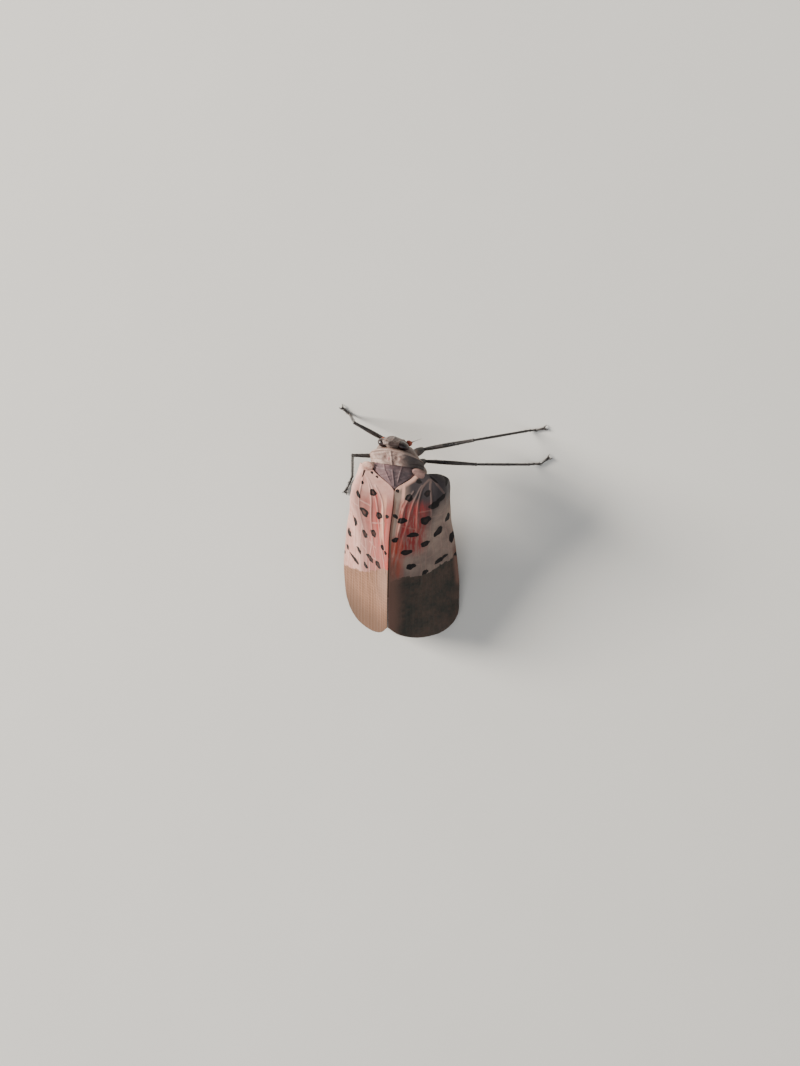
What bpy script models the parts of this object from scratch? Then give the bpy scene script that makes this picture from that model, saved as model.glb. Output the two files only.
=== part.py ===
"""Spotted lanternfly at rest with its wings folded like a roof, life size, head towards +Y.

The insect is modelled in a body frame, in millimetres: x to its right, z up from the body
axis, and "s" the distance behind the tip of the head. The pose then bends the front of the
body a little to its left, pitches the whole body head up and sets it on its feet.
Each mesh is made in metres, and all of them are moved so that the middle of the model's
box stands on the origin.
"""

import math

import bmesh
import bpy
from mathutils import Matrix, Vector
from mathutils.geometry import delaunay_2d_cdt

MM = 0.001
GAP = 0.3
HALF_GAP = GAP / 2

# Body and pose, in millimetres and degrees
HEAD_TIP = 5.2
PITCH = 11.0
AXIS_HEIGHT = 8.0
HEAD_TURN = 1.2
TURN_FROM = -1.0

# Head: heights of the snout and of the clypeus's tip, and the flats for eyes and feelers
HEAD_TOP = 1.78
HEAD_LOW = -2.6
HEAD_SIDE = 0.95
NECK_TOP = (0.62, 1.6)
NECK_BOTTOM = (2.1, -2.0)

# Eyes, feelers and beak
EYE_CENTRE = (1.2, 1.02, 0.45)
EYE_SEMI = (0.54, 0.5, 0.74)
EYE_LEAN = -24.0
PEDICEL_CENTRE = (1.5, 1.22, -0.82)
PEDICEL_RADIUS = 0.34
ARISTA_TIP = (2.7, 0.85, -1.55)
ARISTA_RADIUS = 0.07
BEAK_START = (2.1, -2.95)
BEAK_END = (7.2, -3.1)
BEAK_RADII = (0.25, 0.27, 0.25, 0.2, 0.09)

# Plates of the thorax
PRONOTUM_FRONT = 0.92
PRONOTUM_SWEEP = 1.45
PRONOTUM_REAR = 2.45
PRONOTUM_HALF = 4.1
PRONOTUM_CREST = 1.75
PRONOTUM_RISE = 0.42
PRONOTUM_THICK = 0.6
MESONOTUM_CORNER = (2.15, 3.5)
MESONOTUM_TIP = 5.1
MESONOTUM_THICK = 0.75
MESONOTUM_TOP = 2.72
KEEL_HALF = 0.22
KEEL_RISE = 0.13
TEGULA_CENTRE = (2.93, 3.42, 2.14)
TEGULA_SEMI = (0.48, 0.56, 0.25)

# Thorax and abdomen
THORAX_REAR = 7.6
ABDOMEN_END = 16.6
ABDOMEN_SEGMENTS = 7
SEGMENT_STEP = 0.07

# Wings and their veins
WING_THICK = 0.5
MITRE = 1.4
EDGE_STEP = 0.9
FILL_STEP = 1.15
VEIN_HALF = 0.2
VEIN_RISE = 0.15
VEIN_STEP = 1.2
VEIN_ROOT = (3.3, 3.85)
VEIN_FAN_END = 8.0
VEIN_START = 4.5
FORK_REACH = 3.5
MARGIN_CLEAR = 0.3

# Legs: radii along each segment
COXA_RADII = (0.42, 0.46, 0.4)
FEMUR_RADII = (0.3, 0.4, 0.38, 0.3)
TIBIA_RADII = (0.29, 0.27, 0.26, 0.3)
TARSUS_RADII = (0.25, 0.28, 0.25, 0.27, 0.25, 0.26, 0.18)
TROCHANTER_REACH = 1.15
LEG_SIDES = 2
SPINE_RADIUS = 0.2
SPINE_TIP = 0.04
SPINE_LENGTH = 0.85
SPINE_SIDES = 5
SPINES_ALONG = (0.24, 0.4, 0.56, 0.71, 0.85)
SPINES_ROUND = (40, 110, 180, 250, 320)
CLAW_RADII = (0.14, 0.12, 0.05)
CLAW_SPREAD = 0.26


def smooth(points):
    """A smooth function through (x, value) pairs, level beyond both ends."""
    xs = [x for x, _ in points]
    ys = [y for _, y in points]
    slopes = [(ys[i + 1] - ys[i]) / (xs[i + 1] - xs[i]) for i in range(len(xs) - 1)]
    tangents = [slopes[0]]
    for before, after in zip(slopes, slopes[1:]):
        tangents.append(0.0 if before * after <= 0 else (before + after) / 2)
    tangents.append(slopes[-1])

    def value(x):
        x = min(max(x, xs[0]), xs[-1])
        i = max(k for k in range(len(xs) - 1) if xs[k] <= x)
        width = xs[i + 1] - xs[i]
        t = (x - xs[i]) / width
        rise = ys[i + 1] - ys[i]
        curve = ys[i] + rise * (3 * t * t - 2 * t**3)
        curve += width * tangents[i] * (t**3 - 2 * t * t + t)
        return curve + width * tangents[i + 1] * (t**3 - t * t)

    return value


def ease(t):
    """Smooth step from 0 to 1."""
    t = min(max(t, 0.0), 1.0)
    return t * t * (3 - 2 * t)


# Head by height: where its face and its nape lie, and its half width
FACE = smooth([(-2.6, 1.85), (-2.1, 1.5), (-1.6, 1.18), (-1, 0.82), (-0.4, 0.5), (0.2, 0.25),
               (0.7, 0.12), (1.2, 0.05), (1.55, 0.08), (1.78, 0.2)])
NAPE = smooth([(-2.6, 2.3), (-1.6, 2.5), (0, 2.0), (1.2, 1.2), (1.78, 0.7)])
HEAD_WIDTH = smooth([(-2.6, 0.36), (-2, 0.55), (-1.5, 0.82), (-0.9, 1.1), (-0.2, 1.22),
                     (0.5, 1.16), (1.1, 0.95), (1.5, 0.66), (1.78, 0.4)])

# Thorax and abdomen by distance from the head's tip
THORAX_WIDTH = smooth([(1.2, 1.5), (2.2, 2.2), (3.5, 2.4), (5.5, 2.4), (7.6, 2.2)])
THORAX_TOP = smooth([(1.2, 0.5), (2.5, 1.25), (3.5, 1.55), (4.8, 1.5), (5.6, 0.9), (7.6, 0.8)])
THORAX_BOTTOM = smooth([(1.2, -1.6), (2.5, -2.1), (5.5, -2.25), (7.6, -2.1)])
ABDOMEN_WIDTH = smooth([(7.9, 2.15), (10, 2.35), (12.5, 2.2), (15, 1.6), (16.6, 0.9)])
ABDOMEN_TOP = smooth([(7.9, 0.75), (10, 0.6), (12, 0.4), (14, 0.1), (16.6, -0.55)])
ABDOMEN_BOTTOM = smooth([(7.9, -2.1), (10, -2.3), (13, -2.2), (16.6, -1.5)])

# Roof of the folded wings: ridge height, slopes across, and where the slope changes
RIDGE = smooth([(2.7, 2.55), (5.5, 2.75), (9, 2.85), (13, 2.75), (18, 2.35), (22, 1.85), (25.2, 1.35)])
SLOPE_IN = smooth([(2.7, 4), (6, 7), (9, 14), (12, 25), (15, 32), (19, 35), (25.2, 37)])
SLOPE_OUT = smooth([(2.7, 86), (6, 86), (9, 70), (12, 55), (15, 49), (19, 46), (25.2, 45)])
BEND_FROM = smooth([(2.7, 2.9), (6, 3.8), (9, 2.0), (12, 0), (25.2, 0)])
BEND_TO = smooth([(2.7, 4.8), (6, 6.2), (9, 7.6), (12, 8.3), (15, 8.8), (25.2, 9.2)])

# Margins of the forewing on the unrolled roof, as (s, distance from the ridge)
FORE_INNER = [(4.25, 2.4), (4.75, 1.4), (5.35, 0.35), (6.4, HALF_GAP), (12, HALF_GAP),
              (18, HALF_GAP), (23, HALF_GAP)]
FORE_APEX = [(23, HALF_GAP), (24.2, 1.2), (25, 3), (25.2, 4.8), (25, 6.4), (24.2, 7.7),
             (22.8, 8.55), (21, 8.85)]
FORE_COSTAL = [(21, 8.85), (19, 9), (16, 8.8), (13, 8.4), (10, 7.9), (7, 7.5), (5.2, 6.9),
               (3.9, 5.8), (3.1, 4.6), (2.95, 3.8)]
FORE_BASE = [(2.95, 3.8), (3.6, 3.8), (4.1, 3.5), (4.25, 2.9), (4.25, 2.4)]

# Width over which the forewing's veins fan out; each stem's share of it and the place of
# its fork; how far its two branches part and where they fork; the shares at the apex
FAN_WIDTH = smooth([(3, 4.2), (5.2, 6.9), (7, 7.5), (10, 7.9), (13, 8.4), (19, 9), (25.2, 9.3)])
STEM_FORKS = ((0.8, 9.0), (0.53, 10.6), (0.32, 12.0))
STEM_SPREAD = 0.07
BRANCH_FORKS = ((16.2, 17.4), (15.6, 18.0), (16.8, 17.8))
APEX_SHARES = (((0.9, 0.83), (0.76, 0.69)), ((0.62, 0.55), (0.48, 0.41)), ((0.34, 0.27), (0.2, 0.13)))

# Veins along the inner margin: start, end, share at the start and share at the end
CLAVAL_SUTURE = (5.2, 15.8, 0.27, 0.04)
ANAL_VEIN = (5.9, 13.6, 0.15, 0.045)

# Margins of the hindwing, folded below the forewing, and its veins
HIND_DEPTH = WING_THICK + GAP + VEIN_RISE
HIND_INNER = [(5.8, 0.2), (10, 0.2), (15, 0.2), (18.6, 0.25)]
HIND_APEX = [(18.6, 0.25), (20, 1.6), (20.4, 3.2), (20, 4.8), (18.4, 6)]
HIND_COSTAL = [(18.4, 6), (15, 6.4), (11, 6), (8, 4.8), (6, 3.2)]
HIND_BASE = [(6, 3.2), (5.7, 1.8), (5.8, 0.2)]
HIND_WIDTH = smooth([(5.8, 3.0), (8, 4.8), (11, 6), (15, 6.4), (20.4, 6.4)])
HIND_SHARES = (0.16, 0.34, 0.52, 0.7, 0.87)
HIND_VEIN_START = 6.6


def roof_profile(s, w):
    """Point and slope on the roof's section at s, w away from the ridge along the surface."""
    steps = 24
    x = drop = 0.0
    slope = 0.0
    low, high = SLOPE_IN(s), SLOPE_OUT(s)
    start, end = BEND_FROM(s), BEND_TO(s)
    for i in range(steps + 1):
        slope = math.radians(low + (high - low) * ease((w * i / steps - start) / (end - start)))
        share = w / steps * (0.5 if i in (0, steps) else 1.0)
        x += math.cos(slope) * share
        drop += math.sin(slope) * share
    return x, RIDGE(s) - drop, slope


def roof_point(s, w, depth):
    """Body-frame point at a depth below the roof, measured straight down at the ridge."""
    x, z, slope = roof_profile(s, w)
    lean = slope * ease(w / MITRE)
    reach = depth / math.cos(slope - lean)
    return Vector((x - reach * math.sin(lean), HEAD_TIP - s, z - reach * math.cos(lean)))


def posed(point):
    """Body-frame millimetres to the standing insect's millimetres."""
    x, y, z = point
    turn = max(0.0, (y - TURN_FROM) / (HEAD_TIP - TURN_FROM))
    x -= HEAD_TURN * turn * turn
    a = math.radians(PITCH)
    return Vector((x, y * math.cos(a) - z * math.sin(a), AXIS_HEIGHT + y * math.sin(a) + z * math.cos(a)))


def at(s, x, z):
    """Body-frame point from the distance behind the head's tip."""
    return Vector((x, HEAD_TIP - s, z))


# Materials


def material(name, colour, roughness, metallic=0.0):
    """A Principled material of one colour."""
    made = bpy.data.materials.new(name)
    made.use_nodes = True
    shader = made.node_tree.nodes["Principled BSDF"]
    shader.inputs["Base Color"].default_value = (*colour, 1.0)
    shader.inputs["Roughness"].default_value = roughness
    shader.inputs["Metallic"].default_value = metallic
    made.diffuse_color = (*colour, 1.0)
    return made


COLOURS = {
    "head": ((0.30, 0.20, 0.16), 0.6),
    "eye": ((0.05, 0.03, 0.03), 0.2),
    "antenna": ((0.75, 0.22, 0.04), 0.5),
    "beak": ((0.03, 0.025, 0.02), 0.45),
    "pronotum": ((0.62, 0.50, 0.45), 0.6),
    "mesonotum": ((0.34, 0.27, 0.28), 0.55),
    "tegula": ((0.55, 0.25, 0.22), 0.55),
    "thorax": ((0.20, 0.15, 0.12), 0.6),
    "abdomen": ((0.75, 0.55, 0.10), 0.55),
    "forewing": ((0.62, 0.47, 0.43), 0.55),
    "hindwing": ((0.62, 0.08, 0.05), 0.55),
    "coxa": ((0.10, 0.07, 0.06), 0.45),
    "femur": ((0.03, 0.025, 0.025), 0.4),
    "tibia": ((0.025, 0.02, 0.02), 0.4),
    "tarsus": ((0.02, 0.02, 0.02), 0.45),
}


# Mesh helpers


def add_object(name, bm, pose=True):
    """Turns a bmesh in millimetres into a named object in metres."""
    for vert in bm.verts:
        vert.co = (posed(vert.co) if pose else vert.co) * MM
    mesh = bpy.data.meshes.new(name)
    bm.to_mesh(mesh)
    bm.free()
    mesh.shade_smooth()
    mesh.set_sharp_from_angle(angle=math.radians(40))
    obj = bpy.data.objects.new(name, mesh)
    PART.objects.link(obj)
    kind = name.split("_")[0]
    obj.data.materials.append(MATERIALS[kind])
    return obj


def cut(bm, point, normal):
    """Removes what lies on the normal's side of a plane and closes the cut."""
    everything = bm.verts[:] + bm.edges[:] + bm.faces[:]
    made = bmesh.ops.bisect_plane(bm, geom=everything, plane_co=point, plane_no=normal, clear_outer=True)
    edges = [item for item in made["geom_cut"] if isinstance(item, bmesh.types.BMEdge)]
    bmesh.ops.holes_fill(bm, edges=edges, sides=0)


def outward(bm):
    """Turns every face of a closed shape outwards."""
    bmesh.ops.recalc_face_normals(bm, faces=bm.faces)
    if bm.calc_volume(signed=True) < 0:
        bmesh.ops.reverse_faces(bm, faces=bm.faces)


def ellipsoid(centre, semi, sides=16, rings=10, lean=0.0):
    """An ellipsoid about a (x, s, z) centre, its top leaning back by an angle in degrees."""
    bm = bmesh.new()
    bmesh.ops.create_uvsphere(bm, u_segments=sides, v_segments=rings, radius=1.0)
    x, s, z = centre
    shape = Matrix.Translation(at(s, x, z)) @ Matrix.Rotation(math.radians(lean), 4, "X")
    shape = shape @ Matrix.Diagonal((*semi, 1.0))
    bmesh.ops.transform(bm, matrix=shape, verts=bm.verts)
    return bm


def lofted(place, sides, rings, blunt):
    """A closed form along an axis: place(t, x, y) puts a point of the unit disc at t."""
    bm = bmesh.new()
    bmesh.ops.create_uvsphere(bm, u_segments=sides, v_segments=rings, radius=1.0)
    for vert in bm.verts:
        x, y, z = vert.co
        reach = math.hypot(x, y)
        scale = reach ** (blunt - 1.0) if reach > 1e-4 else 0.0
        vert.co = place(0.5 - 0.5 * z, x * scale, y * scale)
    outward(bm)
    return bm


def tube(points, radii, resolution=LEG_SIDES):
    """A closed tube through points, as a bmesh, made from a bevelled curve."""
    curve = bpy.data.curves.new("tube", "CURVE")
    curve.dimensions = "3D"
    curve.bevel_depth = 1.0
    curve.bevel_resolution = resolution
    curve.use_fill_caps = True
    spline = curve.splines.new("POLY")
    spline.points.add(len(points) - 1)
    for place, point, radius in zip(spline.points, points, radii):
        place.co = (*point, 1.0)
        place.radius = radius
    obj = bpy.data.objects.new("tube", curve)
    bpy.context.scene.collection.objects.link(obj)
    bpy.context.view_layer.update()
    graph = bpy.context.evaluated_depsgraph_get()
    mesh = bpy.data.meshes.new_from_object(obj.evaluated_get(graph))
    bm = bmesh.new()
    bm.from_mesh(mesh)
    bmesh.ops.remove_doubles(bm, verts=bm.verts, dist=1e-4)
    outward(bm)
    bpy.data.objects.remove(obj)
    bpy.data.curves.remove(curve)
    bpy.data.meshes.remove(mesh)
    return bm


def mirrored(bm):
    """The same shape on the other side of the body."""
    bmesh.ops.scale(bm, vec=(-1, 1, 1), verts=bm.verts)
    bmesh.ops.reverse_faces(bm, faces=bm.faces)
    return bm


def keep_largest(bm):
    """Keeps only the connected surface with the most faces."""
    left = set(bm.faces)
    islands = []
    while left:
        island = set()
        front = [left.pop()]
        while front:
            face = front.pop()
            island.add(face)
            near = {f for edge in face.edges for f in edge.link_faces} & left
            left -= near
            front.extend(near)
        islands.append(island)
    islands.sort(key=len)
    loose = [face for island in islands[:-1] for face in island]
    bmesh.ops.delete(bm, geom=loose, context="FACES")


def joined(pieces):
    """One closed bmesh from several closed ones that overlap, by a Boolean union."""
    objects = []
    joining = bpy.data.collections.new("joining")
    bpy.context.scene.collection.children.link(joining)
    for bm in pieces:
        mesh = bpy.data.meshes.new("piece")
        bm.to_mesh(mesh)
        bm.free()
        objects.append(bpy.data.objects.new("piece", mesh))
    base = objects[0]
    bpy.context.scene.collection.objects.link(base)
    for obj in objects[1:]:
        joining.objects.link(obj)
    union = base.modifiers.new("union", "BOOLEAN")
    union.operation = "UNION"
    union.operand_type = "COLLECTION"
    union.collection = joining
    union.solver = "EXACT"
    bpy.context.view_layer.update()
    graph = bpy.context.evaluated_depsgraph_get()
    mesh = bpy.data.meshes.new_from_object(base.evaluated_get(graph))
    bm = bmesh.new()
    bm.from_mesh(mesh)
    for obj in objects:
        bpy.data.objects.remove(obj)
    bpy.data.meshes.remove(mesh)
    bpy.data.collections.remove(joining)
    keep_largest(bm)
    return bm


# Thin plates and wings


def spaced(curve, step):
    """Points along a smooth curve through (s, w) pairs, evenly spaced, without the last one."""
    lengths = [0.0]
    for a, b in zip(curve, curve[1:]):
        lengths.append(lengths[-1] + math.dist(a, b))
    along_s = smooth([(d, p[0]) for d, p in zip(lengths, curve)])
    along_w = smooth([(d, p[1]) for d, p in zip(lengths, curve)])
    count = max(2, round(lengths[-1] / step))
    return [(along_s(lengths[-1] * i / count), along_w(lengths[-1] * i / count)) for i in range(count)]


def outline_of(curves, step):
    """A closed outline from margin curves that follow one another."""
    return [point for curve in curves for point in spaced(curve, step)]


def from_line(point, line):
    """Distance from a 2D point to a polyline."""
    nearest = 1e9
    for (s0, w0), (s1, w1) in zip(line, line[1:]):
        ds, dw = s1 - s0, w1 - w0
        t = ((point[0] - s0) * ds + (point[1] - w0) * dw) / max(ds * ds + dw * dw, 1e-12)
        t = min(max(t, 0.0), 1.0)
        nearest = min(nearest, math.hypot(s0 + ds * t - point[0], w0 + dw * t - point[1]))
    return nearest


def inside(point, outline):
    """Whether a 2D point lies inside a closed outline."""
    s, w = point
    found = False
    for (s0, w0), (s1, w1) in zip(outline, outline[1:] + outline[:1]):
        if (w0 > w) != (w1 > w) and s < (s1 - s0) * (w - w0) / (w1 - w0) + s0:
            found = not found
    return found


def fill_points(outline, lines, step):
    """A triangular grid of points inside the outline, clear of it and of the lines."""
    closed = outline + outline[:1]
    found = []
    rows = int((max(w for _, w in outline) - min(w for _, w in outline)) / (step * 0.87)) + 1
    columns = int((max(s for s, _ in outline) - min(s for s, _ in outline)) / step) + 2
    start_s = min(s for s, _ in outline)
    start_w = min(w for _, w in outline)
    for row in range(rows):
        for column in range(columns):
            point = (start_s + step * (column + 0.5 * (row % 2)), start_w + step * 0.87 * (row + 0.5))
            if not inside(point, outline) or from_line(point, closed) < 0.45 * step:
                continue
            if all(from_line(point, line) > 0.4 * step for line in lines):
                found.append(point)
    return found


def beside(line, others, half, closed):
    """The feet of a ridge: lines at both sides of its crest, left out where ridges meet."""
    feet = []
    for side in (-1, 1):
        run = []
        for a, b in zip(line, line[1:]):
            length = math.dist(a, b)
            s = (a[0] + b[0]) / 2 - side * half * (b[1] - a[1]) / length
            w = (a[1] + b[1]) / 2 + side * half * (b[0] - a[0]) / length
            clear = all(from_line((s, w), other) > 0.95 * half for other in others)
            if clear and from_line((s, w), closed) > 0.6 * half:
                run.append((s, w))
            else:
                feet.append(run)
                run = []
        feet.append(run)
    return [run for run in feet if run]


def sheet(outline, ridges, half, rise, thick, place, step=FILL_STEP):
    """A closed thin body over an outline, with ridges raised in its upper face.

    place(s, w, depth) gives the point at a depth below the upper face. The outline, the
    ridges' crests and their feet are triangulated once, so both faces are split alike.
    """
    closed = outline + outline[:1]
    lines = list(ridges)
    for i, ridge in enumerate(ridges):
        lines += beside(ridge, ridges[:i] + ridges[i + 1:], half, closed)
    points = list(outline)
    edges = []
    for line in lines:
        first = len(points)
        points.extend(line)
        edges.extend((first + i, first + i + 1) for i in range(len(line) - 1))
    points.extend(fill_points(outline, lines, step))
    found = delaunay_2d_cdt([Vector(p) for p in points], edges, [list(range(len(outline)))], 1, 1e-4)
    bm = bmesh.new()
    flat = [bm.verts.new((p.x, p.y, 0.0)) for p in found[0]]
    low = [bm.faces.new([flat[i] for i in face]) for face in found[2]]
    bmesh.ops.recalc_face_normals(bm, faces=low)
    if low[0].normal.z > 0:
        bmesh.ops.reverse_faces(bm, faces=low)
    made = bmesh.ops.extrude_face_region(bm, geom=low, use_keep_orig=True)
    raised = [item for item in made["geom"] if isinstance(item, bmesh.types.BMVert)]
    bmesh.ops.translate(bm, vec=(0, 0, 1), verts=raised)
    top = [face for face in bm.faces if all(v.co.z > 0.5 for v in face.verts)]
    bmesh.ops.reverse_faces(bm, faces=top)
    bmesh.ops.triangulate(bm, faces=bm.faces)
    for vert in bm.verts:
        s, w, level = vert.co
        depth = thick
        if level > 0.5:
            nearest = min((from_line((s, w), ridge) for ridge in ridges), default=half)
            depth = -rise * max(0.0, 1 - nearest / half)
        vert.co = place(s, w, depth)
    outward(bm)
    return bm


# Head


def build_head():
    """Head with its short snout and the clypeus, flat where the eyes and feelers sit."""

    def place(t, x, y):
        height = HEAD_TOP + (HEAD_LOW - HEAD_TOP) * t
        middle = (FACE(height) + NAPE(height)) / 2
        return at(middle - (middle - FACE(height)) * y, HEAD_WIDTH(height) * x, height)

    bm = lofted(place, 20, 18, 0.5)
    cut(bm, at(NECK_TOP[0], 0, NECK_TOP[1]), neck_normal())
    for side in (-1, 1):
        cut(bm, (side * HEAD_SIDE, 0, 0), (side, 0, 0))
    return add_object("head", bm)


def neck_normal():
    """Direction in which the neck leaves the head."""
    along = at(NECK_BOTTOM[0], 0, NECK_BOTTOM[1]) - at(NECK_TOP[0], 0, NECK_TOP[1])
    return Vector((0, along.z, -along.y)).normalized()


def build_eye(side):
    """A bulging eye, flat where it meets the head."""
    bm = ellipsoid(EYE_CENTRE, EYE_SEMI, 16, 12, EYE_LEAN)
    cut(bm, (HEAD_SIDE + GAP, 0, 0), (-1, 0, 0))
    if side < 0:
        mirrored(bm)
    return add_object("eye_" + SIDES[side], bm)


def build_antenna(side):
    """A bulbous pedicel with a short tapering bristle."""
    x, s, z = PEDICEL_CENTRE
    r = PEDICEL_RADIUS
    bulb = at(s, x, z)
    tip = at(ARISTA_TIP[1], ARISTA_TIP[0], ARISTA_TIP[2])
    way = (tip - bulb).normalized()
    root = bulb - Vector((1.2 * r, 0, 0))
    points = [root, bulb - way * 0.3 * r, bulb + way * 0.45 * r, bulb + way * r, bulb + way * 1.25 * r, tip]
    bm = tube(points, (0.8 * r, r, 0.95 * r, 0.6 * r, 0.4 * r, ARISTA_RADIUS), 3)
    cut(bm, (HEAD_SIDE + GAP, 0, 0), (-1, 0, 0))
    if side < 0:
        mirrored(bm)
    return add_object("antenna_" + SIDES[side], bm)


def build_beak():
    """The long piercing beak, which lies back between the legs."""
    start = at(BEAK_START[0], 0, BEAK_START[1])
    end = at(BEAK_END[0], 0, BEAK_END[1])
    points = [start.lerp(end, t) for t in (0, 0.2, 0.45, 0.75, 1)]
    return add_object("beak", tube(points, BEAK_RADII))


# Plates of the thorax


def pronotum_point(s, q, depth):
    """Point on the collar, q along its arch from the middle."""
    steps = 20
    x = drop = slope = 0.0
    for i in range(steps + 1):
        slope = math.radians(86) * (abs(q) * i / steps / PRONOTUM_HALF) ** 1.3
        share = abs(q) / steps * (0.5 if i in (0, steps) else 1.0)
        x += math.cos(slope) * share
        drop += math.sin(slope) * share
    crest = PRONOTUM_CREST + PRONOTUM_RISE * (s - PRONOTUM_FRONT)
    x -= depth * math.sin(slope)
    return at(s, math.copysign(x, q), crest - drop - depth * math.cos(slope))


def build_pronotum():
    """The collar plate behind the head, arched down both sides, with a keel in its middle."""
    shares = [i / 9 for i in range(-9, 10)]
    front = [(PRONOTUM_FRONT + PRONOTUM_SWEEP * abs(t) ** 1.9, PRONOTUM_HALF * t) for t in shares]
    rear = [(PRONOTUM_REAR + 0.12 * abs(t), -PRONOTUM_HALF * t) for t in shares]
    keel = [(PRONOTUM_FRONT + GAP + i * 0.3, 0.0) for i in range(4)]
    bm = sheet(front + rear, [keel], KEEL_HALF, KEEL_RISE, PRONOTUM_THICK, pronotum_point, 0.7)
    return add_object("pronotum", bm)


def mesonotum_point(s, x, depth):
    """Point on the diamond plate."""
    crest = MESONOTUM_TOP - 0.09 * x * x - 0.02 * (s - 4.2) ** 2
    return at(s, x, crest - depth)


def build_mesonotum():
    """The diamond plate between the wing bases, with its middle keel and one at each side."""
    corner_x, corner_s = MESONOTUM_CORNER
    front = PRONOTUM_REAR + 0.05 + GAP
    outline = [(front + 0.03, 0.0), (front + 0.06, -1.0), (front + 0.12, -1.75), (corner_s, -corner_x)]
    outline += [(MESONOTUM_TIP - 0.08, -0.2), (MESONOTUM_TIP, 0.0), (MESONOTUM_TIP - 0.08, 0.2)]
    outline += [(corner_s, corner_x), (front + 0.12, 1.75), (front + 0.06, 1.0)]
    keels = [[(front + GAP + i * 0.42, 0.0) for i in range(5)]]
    keels += [[(front + GAP + i * 0.35, side * (1.0 - 0.12 * i)) for i in range(4)] for side in (-1, 1)]
    bm = sheet(outline, keels, KEEL_HALF, KEEL_RISE, MESONOTUM_THICK, mesonotum_point, 0.7)
    return add_object("mesonotum", bm)


def build_tegula(side):
    """The small scale over a wing's hinge."""
    bm = ellipsoid(TEGULA_CENTRE, TEGULA_SEMI, 12, 8)
    if side < 0:
        mirrored(bm)
    return add_object("tegula_" + SIDES[side], bm)


# Thorax and abdomen


def body_place(start, end, width, top, bottom, swell):
    """Placing function of a form along the body, for lofted."""

    def place(t, x, y):
        s = start + (end - start) * t
        middle = (top(s) + bottom(s)) / 2
        return at(s, width(s) * swell(s) * x, middle + (top(s) - middle) * swell(s) * y)

    return place


def build_thorax():
    """The body below the plates, which carries the legs."""
    place = body_place(0.6, THORAX_REAR + 1.4, THORAX_WIDTH, THORAX_TOP, THORAX_BOTTOM, lambda s: 1.0)
    bm = lofted(place, 20, 16, 0.45)
    cut(bm, at(NECK_TOP[0], 0, NECK_TOP[1]) + neck_normal() * GAP, -neck_normal())
    cut(bm, at(THORAX_REAR, 0, 0), (0, -1, 0))
    return add_object("thorax", bm)


def build_abdomen():
    """The abdomen, each segment a little wider towards its rear edge."""
    start = THORAX_REAR + GAP
    length = ABDOMEN_END - start

    def swell(s):
        place = (s - start) / length * ABDOMEN_SEGMENTS
        return 1.0 - SEGMENT_STEP * (1.0 - ease((place - math.floor(place)) * 1.1))

    place = body_place(start - 1.6, ABDOMEN_END, ABDOMEN_WIDTH, ABDOMEN_TOP, ABDOMEN_BOTTOM, swell)
    bm = lofted(place, 18, 36, 0.55)
    cut(bm, at(start, 0, 0), (0, 1, 0))
    return add_object("abdomen", bm)


# Wings


def fan_point(s, share):
    """Place of a vein that runs at a share of the forewing's width."""
    t = min(1.0, max(0.0, (s - VEIN_ROOT[0]) / (VEIN_FAN_END - VEIN_ROOT[0])))
    spread = t * (2 - t)
    return s, VEIN_ROOT[1] + (HALF_GAP + share * FAN_WIDTH(s) - VEIN_ROOT[1]) * spread


def vein(start, end, first, last, closed):
    """A vein's crest from start to end, moving from one share to another, off the margin."""
    count = max(2, round((end - start) / VEIN_STEP))
    line = []
    for i in range(count + 1):
        s = start + (end - start) * i / count
        share = first + (last - first) * ease((s - start) / min(FORK_REACH, end - start))
        line.append(fan_point(s, share))
    return [point for point in line if from_line(point, closed) > MARGIN_CLEAR]


def fore_veins(outline):
    """Crests of the forewing's main veins."""
    closed = outline + outline[:1]
    veins = []
    for (stem, fork), forks, ends in zip(STEM_FORKS, BRANCH_FORKS, APEX_SHARES):
        veins.append(vein(VEIN_START, fork, stem, stem, closed))
        for side, second, pair in zip((1, -1), forks, ends):
            branch = stem + side * STEM_SPREAD
            veins.append(vein(fork, second, stem, branch, closed))
            for share in pair:
                veins.append([p for p in vein(second, 25.2, branch, share, closed) if inside(p, outline)])
    for start, end, first, last in (CLAVAL_SUTURE, ANAL_VEIN):
        count = round((end - start) / VEIN_STEP)
        steps = [(start + (end - start) * i / count, i / count) for i in range(count + 1)]
        line = [fan_point(s, first + (last - first) * t**1.3) for s, t in steps]
        veins.append([point for point in line if from_line(point, closed) > MARGIN_CLEAR])
    return veins


def hind_veins(outline):
    """Crests of the hindwing's main veins, in a fan."""
    closed = outline + outline[:1]
    veins = []
    for share in HIND_SHARES:
        line = [(HIND_VEIN_START + 1.5 * i, share * HIND_WIDTH(HIND_VEIN_START + 1.5 * i)) for i in range(10)]
        line = [point for point in line if inside(point, outline)]
        veins.append([point for point in line if from_line(point, closed) > MARGIN_CLEAR])
    return veins


def build_wing(name, curves, find_veins, depth, side):
    """A folded wing: a thin sheet that follows the roof at a depth below it."""

    def place(s, w, below):
        return roof_point(s, w, depth + below)

    outline = outline_of(curves, EDGE_STEP)
    bm = sheet(outline, find_veins(outline), VEIN_HALF, VEIN_RISE, WING_THICK, place)
    if side < 0:
        mirrored(bm)
    return add_object(name + "_" + SIDES[side], bm)


# Legs


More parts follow.
